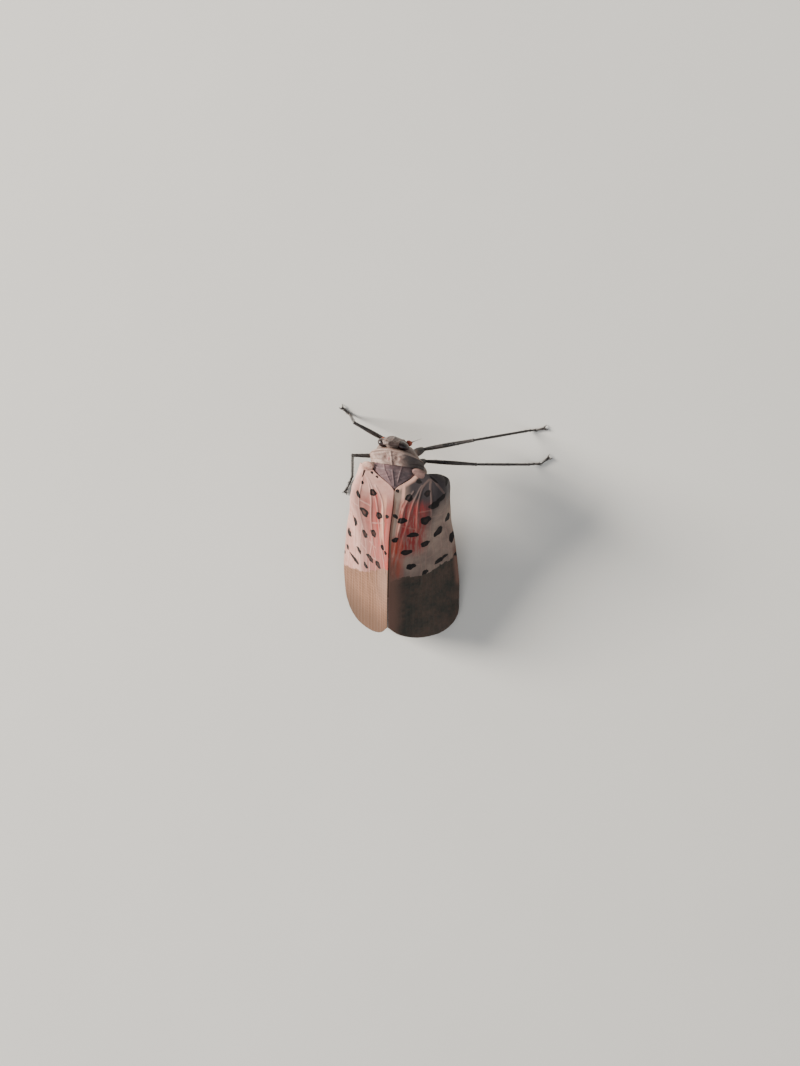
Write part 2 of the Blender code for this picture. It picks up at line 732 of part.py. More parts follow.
class Leg:
    """A leg's joints, in the standing insect's millimetres, from the hip to the claws."""

    def __init__(self, name, hip_s, hip_x, knee, ankle, toes):
        self.name = name
        side = math.copysign(1, hip_x)
        body_z = THORAX_BOTTOM(hip_s)
        middle = (THORAX_TOP(hip_s) + body_z) / 2
        across = abs(hip_x) / THORAX_WIDTH(hip_s)
        lift = math.sqrt(1 - across * across)
        surface = middle - (middle - body_z) * lift
        normal = Vector((across / THORAX_WIDTH(hip_s), 0, -lift / (middle - body_z)))
        normal.normalize()
        normal.x *= side
        root = at(hip_s, hip_x, surface) + normal * GAP
        self.hip = posed(root)
        self.trochanter = posed(root + normal * TROCHANTER_REACH)
        self.knee = Vector(knee)
        self.ankle = Vector(ankle)
        self.toes = [Vector(toe) for toe in toes]


LEGS = (
    Leg("front_right", 3.0, 1.3, (7.0, 4.5, 4.9), (11.9, 5.1, 0.62), ((13, 5.3, 0.23), (13.8, 5.6, 0.3))),
    Leg("middle_right", 4.4, 1.3, (7.5, 1.8, 4.7), (12.6, 1.4, 0.62), ((13.8, 1.55, 0.23), (14.6, 2.3, 0.3))),
    Leg("hind_right", 6, 1.3, (4, -4.9, 3.9), (5, -11.6, 0.62), ((5.1, -12.9, 0.23), (5.2, -14.1, 0.3))),
    Leg("front_left", 2.6, -1.25, (-5.9, 5.0, 6.5), (-7.7, 4, 0.62), ((-8.2, 4.2, 0.23), (-8.75, 4.6, 0.3))),
    Leg("middle_left", 4.4, -1.3, (-6, 1.1, 5.7), (-7, -2.9, 0.62), ((-7.35, -3.8, 0.23), (-7.7, -4.8, 0.3))),
    Leg("hind_left", 6, -1.3, (-4, -4.9, 3.9), (-5, -11.6, 0.62), ((-5.1, -12.9, 0.23), (-5.2, -14.1, 0.3))),
)


def segment(start, end, radii, before, after, overrun=0.5):
    """A straight leg segment, cut where it meets the ones before and after it."""
    way = (end - start).normalized()
    first = start - way * (overrun if before else 0.0)
    last = end + way * (overrun if after else 0.0)
    spots = [first] + [start.lerp(end, i / (len(radii) - 1)) for i in range(len(radii))] + [last]
    sizes = [radii[0], *radii, radii[-1]]
    if not before:
        spots, sizes = spots[1:], sizes[1:]
    if not after:
        spots, sizes = spots[:-1], sizes[:-1]
    bm = tube(spots, sizes)
    if before:
        normal = (before + way).normalized()
        cut(bm, start + normal * GAP / 2, -normal)
    if after:
        normal = (after + way).normalized()
        cut(bm, end - normal * GAP / 2, normal)
    return bm


def spine(root, way, length):
    """A stout pointed spine, its root sunk in the segment that carries it."""
    bm = bmesh.new()
    bmesh.ops.create_cone(bm, cap_ends=True, segments=SPINE_SIDES, radius1=SPINE_RADIUS,
                          radius2=SPINE_TIP, depth=length)
    turn = Vector((0, 0, 1)).rotation_difference(way).to_matrix().to_4x4()
    shape = Matrix.Translation(root + way * length / 2) @ turn
    bmesh.ops.transform(bm, matrix=shape, verts=bm.verts)
    bmesh.ops.triangulate(bm, faces=bm.faces)
    return bm


def hind_tibia_spines(start, end):
    """The row of spines on a hind tibia's outer side and the crown round its end."""
    way = (end - start).normalized()
    outer = Vector((math.copysign(1, start.x), 0, 0))
    outer = (outer - way * outer.dot(way)).normalized()
    spines = []
    for share in SPINES_ALONG:
        lean = (outer + way * 0.75).normalized()
        spines.append(spine(start.lerp(end, share), lean, SPINE_LENGTH))
    for angle in SPINES_ROUND:
        around = Matrix.Rotation(math.radians(angle), 3, way) @ outer
        lean = (around * 0.55 + way).normalized()
        spines.append(spine(end - way * SPINE_LENGTH, lean, SPINE_LENGTH))
    return spines


def build_leg(leg):
    """Coxa, femur, tibia and foot of one leg, each in its own node."""
    joints = [leg.hip, leg.trochanter, leg.knee, leg.ankle, *leg.toes]
    ways = [(b - a).normalized() for a, b in zip(joints, joints[1:])]
    coxa = segment(leg.hip, leg.trochanter, COXA_RADII, None, ways[1])
    femur = segment(leg.trochanter, leg.knee, FEMUR_RADII, ways[0], ways[2])
    tibia = segment(leg.knee, leg.ankle, TIBIA_RADII, ways[1], ways[3])
    if leg.name.startswith("hind"):
        tibia = joined([tibia, *hind_tibia_spines(leg.knee, leg.ankle)])
    for kind, bm in (("coxa", coxa), ("femur", femur), ("tibia", tibia)):
        add_object(kind + "_" + leg.name, bm, pose=False)
    add_object("tarsus_" + leg.name, build_foot(leg, ways), pose=False)


def build_foot(leg, ways):
    """The foot: three knuckles on the floor, flat below, with two claws at its lifted tip."""
    middle, tip = leg.toes
    start = leg.ankle - ways[3] * 0.5
    path = [start, leg.ankle, leg.ankle.lerp(middle, 0.5), middle, middle.lerp(tip, 0.4),
            middle.lerp(tip, 0.75), tip]
    foot = tube(path, TARSUS_RADII)
    normal = (ways[2] + ways[3]).normalized()
    cut(foot, leg.ankle + normal * GAP / 2, -normal)
    across = ways[4].cross(Vector((0, 0, 1))).normalized()
    claws = []
    for side in (-1, 1):
        root = tip - ways[4] * 0.12 + across * side * 0.05
        bend = tip + ways[4] * 0.22 + across * side * CLAW_SPREAD * 0.75 + Vector((0, 0, 0.06))
        end = tip + ways[4] * 0.4 + across * side * CLAW_SPREAD - Vector((0, 0, 0.16))
        claws.append(tube([root, bend, end], CLAW_RADII, 1))
    bm = joined([foot, *claws])
    cut(bm, (0, 0, 0), (0, 0, -1))
    return bm


# The whole insect


def clear_scene():
    """Removes everything that the scene starts with."""
    for obj in list(bpy.data.objects):
        bpy.data.objects.remove(obj, do_unlink=True)


def stand_on_origin():
    """Moves every mesh so that the middle of the model's box stands on the origin."""
    corners = [vert.co for obj in PART.objects for vert in obj.data.vertices]
    low = Vector([min(c[i] for c in corners) for i in range(3)])
    high = Vector([max(c[i] for c in corners) for i in range(3)])
    shift = Vector((-(low.x + high.x) / 2, -(low.y + high.y) / 2, -low.z))
    for obj in PART.objects:
        obj.data.transform(Matrix.Translation(shift))


def build():
    """Builds every node of the insect."""
    build_head()
    build_beak()
    build_pronotum()
    build_mesonotum()
    build_thorax()
    build_abdomen()
    fore = (FORE_INNER, FORE_APEX, FORE_COSTAL, FORE_BASE)
    hind = (HIND_INNER, HIND_APEX, HIND_COSTAL, HIND_BASE)
    for side in SIDES:
        build_eye(side)
        build_antenna(side)
        build_tegula(side)
        build_wing("forewing", fore, fore_veins, 0.0, side)
        build_wing("hindwing", hind, hind_veins, HIND_DEPTH, side)
    for leg in LEGS:
        build_leg(leg)
    stand_on_origin()


SIDES = {1: "right", -1: "left"}
clear_scene()
PART = bpy.data.collections.new("spotted_lanternfly")
bpy.context.scene.collection.children.link(PART)
MATERIALS = {kind: material(kind, colour, rough) for kind, (colour, rough) in COLOURS.items()}
build()
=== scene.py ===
"""Looks of the spotted lanternfly: its spotted wings, plates, skin, eyes, feelers and legs.

Shapes are worked out in millimetres in the insect's own body frame, where x points to its
right, z away from its belly, and s is the distance behind the tip of the head. A Stance turns
them into the place where the insect stands on the floor.
"""

import logging
import math
from dataclasses import dataclass, field
from enum import Enum
from typing import Any, Callable, Iterable, Sequence

import bmesh
import bpy
import numpy as np
from mathutils import Matrix, Vector


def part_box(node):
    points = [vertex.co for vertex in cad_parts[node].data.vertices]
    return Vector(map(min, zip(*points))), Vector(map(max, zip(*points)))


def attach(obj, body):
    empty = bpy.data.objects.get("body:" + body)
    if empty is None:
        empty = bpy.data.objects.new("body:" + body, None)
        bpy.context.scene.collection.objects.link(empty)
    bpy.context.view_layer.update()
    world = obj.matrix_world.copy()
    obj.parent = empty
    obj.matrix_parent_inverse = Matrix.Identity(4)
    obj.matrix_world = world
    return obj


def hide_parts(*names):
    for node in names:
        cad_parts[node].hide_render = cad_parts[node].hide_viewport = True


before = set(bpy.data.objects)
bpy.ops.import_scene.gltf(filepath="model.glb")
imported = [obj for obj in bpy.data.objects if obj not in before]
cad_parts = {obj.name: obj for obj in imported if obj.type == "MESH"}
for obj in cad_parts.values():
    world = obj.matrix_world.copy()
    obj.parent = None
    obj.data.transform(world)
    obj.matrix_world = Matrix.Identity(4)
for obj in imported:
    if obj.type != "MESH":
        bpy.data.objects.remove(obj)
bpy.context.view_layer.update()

LOG = logging.getLogger("lanternfly")
BODY = "root"
SEED = 11
MM = 0.001  # one millimetre, in the frame's metres
HEAD_TIP = 5.2  # y of the tip of the head in the body frame
WING_END = 25.2  # s of the folded wing tips
HALF_GAP = 0.15  # from the ridge to the first vein's share of a wing
SHIELD_TIP = 5.1  # s of the shield's rear point
SHIELD_TIP_HEIGHT = 2.7038  # z of that point

Points = np.ndarray
Colour = tuple[float, float, float, float]
Triple = tuple[float, float, float]
Line = list[tuple[float, float]]
Mesh = bpy.types.Mesh
Form = bmesh.types.BMesh
Piece = bpy.types.Object
Socket = bpy.types.NodeSocket


class Side(Enum):
    """The insect's own right and left."""

    RIGHT = 1
    LEFT = -1

    @property
    def label(self) -> str:
        """Name of the side, as the nodes have it."""
        return self.name.lower()


class Slot(Enum):
    """The record's material slots."""

    FOREWING = "forewing_membrane"
    HINDWING = "hindwing_membrane"
    PLATE = "plate_cuticle"
    LEG = "leg_cuticle"
    SKIN = "body_cuticle"
    EYE = "eye"
    FEELER = "antenna"


def tone(red: int, green: int, blue: int) -> Colour:
    """Turns a colour in everyday screen numbers into the linear one that shaders take.

    Args:
        red: Red, 0 to 255.
        green: Green, 0 to 255.
        blue: Blue, 0 to 255.

    Returns:
        The linear colour with full alpha.
    """
    parts = [value / 255 for value in (red, green, blue)]
    linear = [p / 12.92 if p <= 0.04045 else ((p + 0.055) / 1.055) ** 2.4 for p in parts]
    return (linear[0], linear[1], linear[2], 1.0)


def ease(value: Points) -> Points:
    """Smooth step from 0 to 1 over the same range."""
    value = np.clip(value, 0.0, 1.0)
    return value * value * (3 - 2 * value)


def fade(value: Points, start: Any, end: Any) -> Points:
    """Smooth step from 0 where value is start to 1 where it is end."""
    return ease((value - start) / (end - start))


def bump_shape(distance: Points, half: float) -> Points:
    """Rounded ridge: 1 on its crest, 0 from half its width on."""
    return 1 - ease(np.abs(distance) / half)


@dataclass(frozen=True)
class Curve:
    """A smooth function through (x, value) pairs, level beyond both ends."""

    points: tuple[tuple[float, float], ...]

    def __call__(self, x: Any) -> Points:
        """Value of the curve.

        Args:
            x: One number or an array.

        Returns:
            The value or values there.
        """
        xs, ys = np.array(self.points, float).T
        slopes = np.diff(ys) / np.diff(xs)
        inner = np.where(slopes[:-1] * slopes[1:] <= 0, 0.0, (slopes[:-1] + slopes[1:]) / 2)
        tangents = np.concatenate(([slopes[0]], inner, [slopes[-1]]))
        x = np.clip(np.asarray(x, float), xs[0], xs[-1])
        i = np.clip(np.searchsorted(xs, x, side="right") - 1, 0, len(xs) - 2)
        width = xs[i + 1] - xs[i]
        t = (x - xs[i]) / width
        value = ys[i] + (ys[i + 1] - ys[i]) * (3 * t * t - 2 * t**3)
        value += width * tangents[i] * (t**3 - 2 * t * t + t)
        return value + width * tangents[i + 1] * (t**3 - t * t)


@dataclass(frozen=True)
class Margin:
    """An edge of a wing: a smooth line through (s, w) points, by its share of the way."""

    points: tuple[tuple[float, float], ...]

    def at(self, t: Points) -> tuple[Points, Points]:
        """Place at a share of the way along the margin.

        Args:
            t: Shares of the way, from 0 to 1.

        Returns:
            s and w of each place.
        """
        steps = np.hypot(*np.diff(np.array(self.points, float), axis=0).T)
        way = np.concatenate(([0.0], np.cumsum(steps)))
        along = Curve(tuple(zip(way, [p[0] for p in self.points])))
        across = Curve(tuple(zip(way, [p[1] for p in self.points])))
        return along(t * way[-1]), across(t * way[-1])


@dataclass(frozen=True)
class Stance:
    """How the body frame stands on the floor: bent a little to the left, then head up."""

    shift_x: float
    shift_y: float
    pitch: float = math.radians(11.0)
    height: float = 8.0
    turn: float = 1.2
    turn_from: float = -1.0

    @classmethod
    def of_frame(cls) -> "Stance":
        """Reads from the frame's wings and middle plate where the insect stands.

        Returns:
            The stance that sets the pieces on their CAD nodes.
        """
        middle = (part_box("forewing_right")[1].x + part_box("forewing_left")[0].x) / 2 / MM
        tip = np.array([[0.0, HEAD_TIP - SHIELD_TIP, SHIELD_TIP_HEIGHT]])
        return cls(middle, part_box("mesonotum")[0].y / MM - cls(0.0, 0.0).place(tip)[0, 1])

    def bend(self, y: Points) -> Points:
        """How far the front of the body lies to the left at a place along it."""
        share = np.maximum(0.0, (y - self.turn_from) / (HEAD_TIP - self.turn_from))
        return self.turn * share * share

    def place(self, points: Points) -> Points:
        """Body-frame millimetres to the standing insect's.

        Args:
            points: Body-frame points, one a row.

        Returns:
            The same points on the floor's axes.
        """
        x, y, z = points.T
        sine, cosine = math.sin(self.pitch), math.cos(self.pitch)
        ahead = y * cosine - z * sine + self.shift_y
        return np.stack(
            [x - self.bend(y) + self.shift_x, ahead, self.height + y * sine + z * cosine], 1
        )

    def undo(self, points: Points) -> Points:
        """The standing insect's millimetres back to the body frame.

        Args:
            points: Points on the floor's axes, one a row.

        Returns:
            The same points in the body frame.
        """
        x, y, z = (points - (self.shift_x, self.shift_y, self.height)).T
        sine, cosine = math.sin(self.pitch), math.cos(self.pitch)
        ahead = y * cosine + z * sine
        return np.stack([x + self.bend(ahead), ahead, z * cosine - y * sine], 1)

    def floor_point(self, x: float, y: float, z: float) -> Vector:
        """A point that the legs' table gives on the floor's own axes."""
        return Vector((x + self.shift_x, y + self.shift_y, z))

    def body_point(self, x: float, s: float, z: float) -> Vector:
        """A body-frame point as it stands."""
        return Vector(self.place(np.array([[x, HEAD_TIP - s, z]]))[0])


@dataclass(frozen=True)
class Roof:
    """The surface that the folded wings share: a flat back in front, a tent behind."""

    ridge: Curve = Curve(
        ((2.7, 2.55), (5.5, 2.75), (9, 2.85), (13, 2.75), (18, 2.35), (22, 1.85), (25.2, 1.35))
    )
    slope_in: Curve = Curve(((2.7, 4), (6, 7), (9, 14), (12, 25), (15, 32), (19, 35), (25.2, 37)))
    slope_out: Curve = Curve(
        ((2.7, 86), (6, 86), (9, 70), (12, 55), (15, 49), (19, 46), (25.2, 45))
    )
    bend_from: Curve = Curve(((2.7, 2.9), (6, 3.8), (9, 2.0), (12, 0), (25.2, 0)))
    bend_to: Curve = Curve(((2.7, 4.8), (6, 6.2), (9, 7.6), (12, 8.3), (15, 8.8), (25.2, 9.2)))
    mitre: float = 1.4
    steps: int = 24

    def point(self, s: Points, w: Points, depth: Points) -> Points:
        """Body-frame points under the roof.

        Args:
            s: Distances behind the tip of the head.
            w: Distances from the ridge, along the surface.
            depth: Depths below the surface.

        Returns:
            An array of points, one a row, on the right-hand side.
        """
        low, high = np.radians(self.slope_in(s)), np.radians(self.slope_out(s))
        start, end = self.bend_from(s), self.bend_to(s)
        x = np.zeros_like(s)
        drop = np.zeros_like(s)
        slope = low
        for i in range(self.steps + 1):
            slope = low + (high - low) * ease((w * i / self.steps - start) / (end - start))
            share = w / self.steps * (0.5 if i in (0, self.steps) else 1.0)
            x += np.cos(slope) * share
            drop += np.sin(slope) * share
        lean = slope * ease(w / self.mitre)
        reach = depth / np.cos(slope - lean)
        return np.stack(
            [x - reach * np.sin(lean), HEAD_TIP - s, self.ridge(s) - drop - reach * np.cos(lean)], 1
        )


# Node building


class Sheet:
    """A node tree of a material or group, with short ways to place and join its nodes."""

    def __init__(self, tree: bpy.types.NodeTree) -> None:
        """Takes the tree that it adds nodes to."""
        self.tree = tree

    def node(
        self, kind: str, inputs: dict[Any, Any] | None = None, **settings: Any
    ) -> bpy.types.Node:
        """Adds a node.

        Args:
            kind: The node's type name.
            inputs: What goes into its sockets, by name or index: another socket or a value.
            **settings: The node's own settings.

        Returns:
            The node.
        """
        made = self.tree.nodes.new(kind)
        for name, value in settings.items():
            setattr(made, name, value)
        for name, value in (inputs or {}).items():
            self.put(made.inputs[name], value)
        return made

    def put(self, socket: Socket, value: Any) -> None:
        """Joins a socket to another one, or sets its value.

        Args:
            socket: The socket to feed.
            value: Another socket, or a value.
        """
        if isinstance(value, Socket):
            self.tree.links.new(value, socket)
        else:
            socket.default_value = value

    def mix(self, share: Any, first: Any, second: Any) -> Socket:
        """Mixes two colours by a share."""
        inputs = {0: share, 6: first, 7: second}
        return self.node("ShaderNodeMix", inputs, data_type="RGBA").outputs[2]

    def layers(self, colour: Any, coats: Iterable[tuple[Any, Any]]) -> Any:
        """Lays colours over one another.

        Args:
            colour: The ground.
            coats: Pairs of a mask and the colour that lies where it is 1.

        Returns:
            The last mix.
        """
        for mask, coat in coats:
            colour = self.mix(mask, colour, coat)
        return colour

    def times(self, first: Any, second: Any) -> Socket:
        """One value times another."""
        return self.maths("MULTIPLY", first, second)

    def maths(self, operation: str, first: Any, second: Any = 0.0, third: Any = 0.0) -> Socket:
        """One step of arithmetic."""
        return self.node(
            "ShaderNodeMath", {0: first, 1: second, 2: third}, operation=operation
        ).outputs[0]

    def stretch(self, vector: Any, along: float, across: float) -> Socket:
        """Scales a flat chart along and across."""
        inputs = {0: vector, 1: (along, across, 1.0)}
        return self.node("ShaderNodeVectorMath", inputs, operation="MULTIPLY").outputs[0]

    def span(
        self, value: Any, low: float, high: float, out: tuple[float, float] = (0.0, 1.0)
    ) -> Any:
        """Maps a value smoothly from one range to another."""
        inputs = {0: value, 1: low, 2: high, 3: out[0], 4: out[1]}
        return self.node("ShaderNodeMapRange", inputs, interpolation_type="SMOOTHSTEP").outputs[0]

    def place(self) -> Socket:
        """The surface's own place on the object."""
        return self.node("ShaderNodeTexCoord").outputs["Object"]

    def masks(self, name: str) -> list[Socket]:
        """The three masks that a piece carries in one attribute."""
        read = self.node("ShaderNodeAttribute", attribute_name=name)
        return list(self.node("ShaderNodeSeparateColor", {0: read.outputs["Color"]}).outputs)

    def noise(self, vector: Any, scale: Any, detail: float = 4.0, roughness: float = 0.55) -> Any:
        """Cloudy noise; its scale is in patches per metre."""
        inputs = {"Vector": vector, "Scale": scale, "Detail": detail, "Roughness": roughness}
        return self.node("ShaderNodeTexNoise", inputs).outputs["Fac"]

    def cells(self, vector: Any, scale: Any) -> Any:
        """Distance inside a pattern of cells."""
        return self.node("ShaderNodeTexVoronoi", {"Vector": vector, "Scale": scale}).outputs[0]


def group_of(
    name: str, inputs: dict[str, float], outputs: Iterable[str], fill: Callable
) -> bpy.types.NodeTree:
    """Makes a shared node group once.

    Args:
        name: The group's name.
        inputs: Its float inputs with their usual values.
        outputs: The names of its float outputs.
        fill: Called with the sheet and the input node, gives the output sockets in order.

    Returns:
        The group.
    """
    if name in bpy.data.node_groups:
        return bpy.data.node_groups[name]
    tree = bpy.data.node_groups.new(name, "ShaderNodeTree")
    for title, value in inputs.items():
        made = tree.interface.new_socket(title, in_out="INPUT", socket_type="NodeSocketFloat")
        made.default_value = value
    for title in outputs:
        tree.interface.new_socket(title, in_out="OUTPUT", socket_type="NodeSocketFloat")
    sheet = Sheet(tree)
    entry = tree.nodes.new("NodeGroupInput")
    leave = tree.nodes.new("NodeGroupOutput")
    for title, value in zip(outputs, fill(sheet, entry)):
        sheet.put(leave.inputs[title], value)
    return tree


def cuticle_grain() -> bpy.types.NodeTree:
    """Grain of insect cuticle: soft clouds for colour, and fine pits and wrinkles for relief.

    Returns:
        The group.
    """

    def fill(sheet: Sheet, entry: bpy.types.Node) -> list[Any]:
        """Fills the group.

        Args:
            sheet: The group's node sheet.
            entry: Its input node.

        Returns:
            Cloud, pit and wrinkle sockets.
        """
        place = sheet.place()
        cloud = sheet.noise(place, entry.outputs["Cloud Scale"], 5.0, 0.6)
        pit = sheet.span(sheet.cells(place, entry.outputs["Pit Scale"]), 0.1, 0.55)
        wrinkle = sheet.node(
            "ShaderNodeTexNoise",
            {
                "Vector": place, "Scale": entry.outputs["Pit Scale"], "Detail": 3.0,
                "Distortion": 0.8,
            },
        ).outputs["Fac"]
        return [sheet.span(cloud, 0.3, 0.7), pit, sheet.times(wrinkle, 0.6)]

    return group_of(
        "cuticle grain", {"Cloud Scale": 900.0, "Pit Scale": 7000.0}, ("Cloud", "Pit", "Wrinkle"),
        fill,
    )


@dataclass(frozen=True)
class Finish:
    """A finish of the insect's surface; each kind says how its colours are laid."""

    name: str
    roughness: float = 0.5
    coat: float = 0.0
    coat_roughness: float = 0.2
    relief: float = 0.02
    specular: float = 0.5
    sheen: float = 0.0
    cloud: float = 900.0
    pit: float = 14000.0

    def make(self) -> bpy.types.Material:
        """Builds the material once and gives it again when asked again.

        Returns:
            The material.
        """
        if self.name in bpy.data.materials:
            return bpy.data.materials[self.name]
        made = bpy.data.materials.new(self.name)
        made.use_nodes = True
        sheet = Sheet(made.node_tree)
        shader = made.node_tree.nodes["Principled BSDF"]
        shader.inputs["Roughness"].default_value = self.roughness
        shader.inputs["Coat Weight"].default_value = self.coat
        shader.inputs["Coat Roughness"].default_value = self.coat_roughness
        shader.inputs["Specular IOR Level"].default_value = self.specular
        shader.inputs["Sheen Weight"].default_value = self.sheen
        colour, height, roughness = self.lay(sheet)
        sheet.put(shader.inputs["Base Color"], colour)
        if roughness is not None:
            sheet.put(shader.inputs["Roughness"], roughness)
        bump = sheet.node(
            "ShaderNodeBump", {"Strength": 0.6, "Distance": self.relief * MM, "Height": height}
        )
        sheet.put(shader.inputs["Normal"], bump.outputs[0])
        return made

    def grain(self, sheet: Sheet) -> list[Socket]:
        """Places the shared cuticle grain with this finish's own scales.

        Args:
            sheet: The material's node sheet.

        Returns:
            Cloud, pit and wrinkle sockets.
        """
        placed = sheet.node("ShaderNodeGroup", node_tree=cuticle_grain())
        placed.inputs["Cloud Scale"].default_value = self.cloud
        placed.inputs["Pit Scale"].default_value = self.pit
        return list(placed.outputs)

    def lay(self, sheet: Sheet) -> tuple[Any, Any, Any]:
        """Lays the colours.

        Args:
            sheet: The material's node sheet.

        Returns:
            Colour, height, and roughness or None where the roughness is plain.
        """
        raise NotImplementedError


@dataclass(frozen=True)
class Chitin(Finish):
    """Plain cuticle of two cloudy colours, as on legs, beak and claws."""

    light: Colour = tone(60, 52, 48)
    dark: Colour = tone(20, 17, 16)

    def lay(self, sheet: Sheet) -> tuple[Any, Any, Any]:
        """Two colours in clouds, with pits.

        Args:
            sheet: The material's node sheet.

        Returns:
            Colour, height, and roughness or None where it is plain.
        """
        cloud, pit, wrinkle = self.grain(sheet)
        colour = sheet.mix(cloud, self.dark, self.light)
        rough = sheet.span(cloud, 0.0, 1.0, (self.roughness - 0.08, self.roughness + 0.1))
        return colour, sheet.maths("ADD", pit, wrinkle), rough


@dataclass(frozen=True)
class WingSkin(Finish):
    """Leathery forewing: pale ground, pink and red of the hindwing with painted light shining
    through, black spots and a fine net at the tip.
    """

    ground: Colour = tone(202, 160, 146)
    ground_deep: Colour = tone(180, 128, 116)
    # Deep tone: painted shade on the right wing, deeper pink on the left.
    painted_shade_and_deep_pink: Colour = tone(108, 62, 58)
    cream: Colour = tone(218, 172, 148)
    # Glow and ember: the hindwing's pink and red under the forewing, with painted light shining
    # through.
    pink_and_painted_glow: Colour = tone(170, 72, 64)
    painted_red_glow: Colour = tone(186, 52, 30)
    vein: Colour = tone(214, 180, 166)
    spot: Colour = tone(14, 7, 6)
    spot_heart: Colour = tone(84, 52, 46)
    tip_cell: Colour = tone(122, 84, 62)
    tip_net: Colour = tone(162, 122, 99)
    tip_edge: Colour = tone(88, 63, 47)
    tip_blush: Colour = tone(154, 124, 112)
    cell_length: float = 0.38
    strip: float = 0.052
    cloud: float = 500.0

    def net(self, sheet: Sheet, chart: Socket) -> bpy.types.Node:
        """The net of fine veins: cells in rows along the wing, with a little waver.

        Args:
            sheet: The material's node sheet.
            chart: The wing's flat chart.

        Returns:
            The node: Fac is 1 on the net, Color differs from cell to cell.
        """
        waver = sheet.node(
            "ShaderNodeTexNoise", {"Vector": sheet.place(), "Scale": 900.0, "Detail": 2.0}
        )
        bend = sheet.node(
            "ShaderNodeVectorMath",
            {0: waver.outputs["Color"], 1: (0.8, 0.5, 0.0)},
            operation="MULTIPLY",
        )
        cells = sheet.stretch(chart, WING_END / self.cell_length, 1 / self.strip)
        inputs = {0: cells, 1: bend.outputs[0]}
        inputs = {
            "Vector": sheet.node("ShaderNodeVectorMath", inputs, operation="ADD").outputs[0],
            "Color1": (0.0, 0.0, 0.0, 1.0),
            "Color2": (1.0, 1.0, 1.0, 1.0),
            "Mortar": (0.5, 0.5, 0.5, 1.0),
            "Scale": 1.0,
            "Mortar Size": 0.12,
            "Mortar Smooth": 0.9,
            "Brick Width": 1.0,
            "Row Height": 1.0,
        }
        return sheet.node("ShaderNodeTexBrick", inputs, offset=0.12)

    def lay(self, sheet: Sheet) -> tuple[Any, Any, Any]:
        """Ground, painted shade, pink and red glow of painted through-light, veins, tip, net, spots
        and a painted shadow line, one over the other.

        Args:
            sheet: The material's node sheet.

        Returns:
            Colour, height, and roughness or None where it is plain.
        """
        cloud, pit, wrinkle = self.grain(sheet)
        spot, tip, painted_shade_and_deep_pink = sheet.masks("pattern")
        pink_and_painted_glow, cream, vein = sheet.masks("tint")
        painted_red_glow, heart, edge = sheet.masks("accent")
        line, blush = sheet.masks("border")[:2]
        chart = sheet.node("ShaderNodeUVMap", uv_map="chart").outputs[0]
        streak = sheet.noise(sheet.stretch(chart, 14.0, 34.0), 1.0, 3.0, 0.6)
        streak = sheet.span(streak, 0.36, 0.62)
        brick = self.net(sheet, chart)
        net, cell = brick.outputs["Fac"], brick.outputs["Color"]
        tip = sheet.span(sheet.maths("MULTIPLY_ADD", cell, 0.16, tip), 0.54, 0.58)
        rib = sheet.span(vein, 0.35, 0.75)
        lines = sheet.maths("MAXIMUM", net, sheet.times(rib, 0.45))
        mesh = sheet.layers(self.tip_cell, (
            (sheet.times(cell, 0.2), self.tip_edge),
            (sheet.times(blush, 0.6), self.tip_blush),
            (sheet.times(lines, 0.8), self.tip_net),
            (sheet.times(cloud, 0.3), self.tip_edge),
        ))
        heart = sheet.times(heart, sheet.span(spot, 0.7, 0.86))
        mark = sheet.times(sheet.span(spot, 0.47, 0.53), sheet.maths("SUBTRACT", 1.0, tip))
        # The deep tone is partly painted shade, the glows are partly painted light shining through,
        # the edge coat is partly painted shade, and the line coat is a painted shadow.
        colour = sheet.layers(self.ground, (
            (cloud, self.ground_deep),
            (painted_shade_and_deep_pink, self.painted_shade_and_deep_pink),
            (cream, self.cream),
            (sheet.times(pink_and_painted_glow, sheet.span(streak, 0.0, 1.0, (0.45, 1.0))), self.pink_and_painted_glow),
            (sheet.times(painted_red_glow, sheet.span(streak, 0.0, 1.0, (0.5, 1.0))), self.painted_red_glow),
            (sheet.times(rib, 0.25), self.vein),
            (tip, mesh),
            (edge, self.tip_edge),
            (mark, sheet.mix(heart, self.spot, self.spot_heart)),
            (line, self.spot),
        ))
        plain = sheet.maths("ADD", pit, wrinkle)
        height = sheet.maths("MULTIPLY_ADD", sheet.times(net, tip), 0.4, plain)
        rough = sheet.span(mark, 0.0, 1.0, (self.roughness, self.roughness + 0.15))
        return colour, height, rough


@dataclass(frozen=True)
class HindSkin(Finish):
    """Hindwing: red with black spots, a white band and a black end."""

    red: Colour = tone(178, 34, 30)
    white: Colour = tone(222, 214, 205)
    black: Colour = tone(24, 20, 20)
    red_deep: Colour = tone(140, 22, 24)
    cloud: float = 600.0
    pit: float = 9000.0

    def lay(self, sheet: Sheet) -> tuple[Any, Any, Any]:
        """Red ground, then the white band, the dark end and the spots.

        Args:
            sheet: The material's node sheet.

        Returns:
            Colour, height, and roughness or None where it is plain.
        """
        cloud, pit, wrinkle = self.grain(sheet)
        spot, tip, band = sheet.masks("pattern")
        colour = sheet.layers(self.red, (
            (sheet.times(cloud, 0.4), self.red_deep),
            (band, self.white),
            (tip, self.black),
            (spot, self.black),
        ))
        return colour, sheet.maths("ADD", pit, wrinkle), None


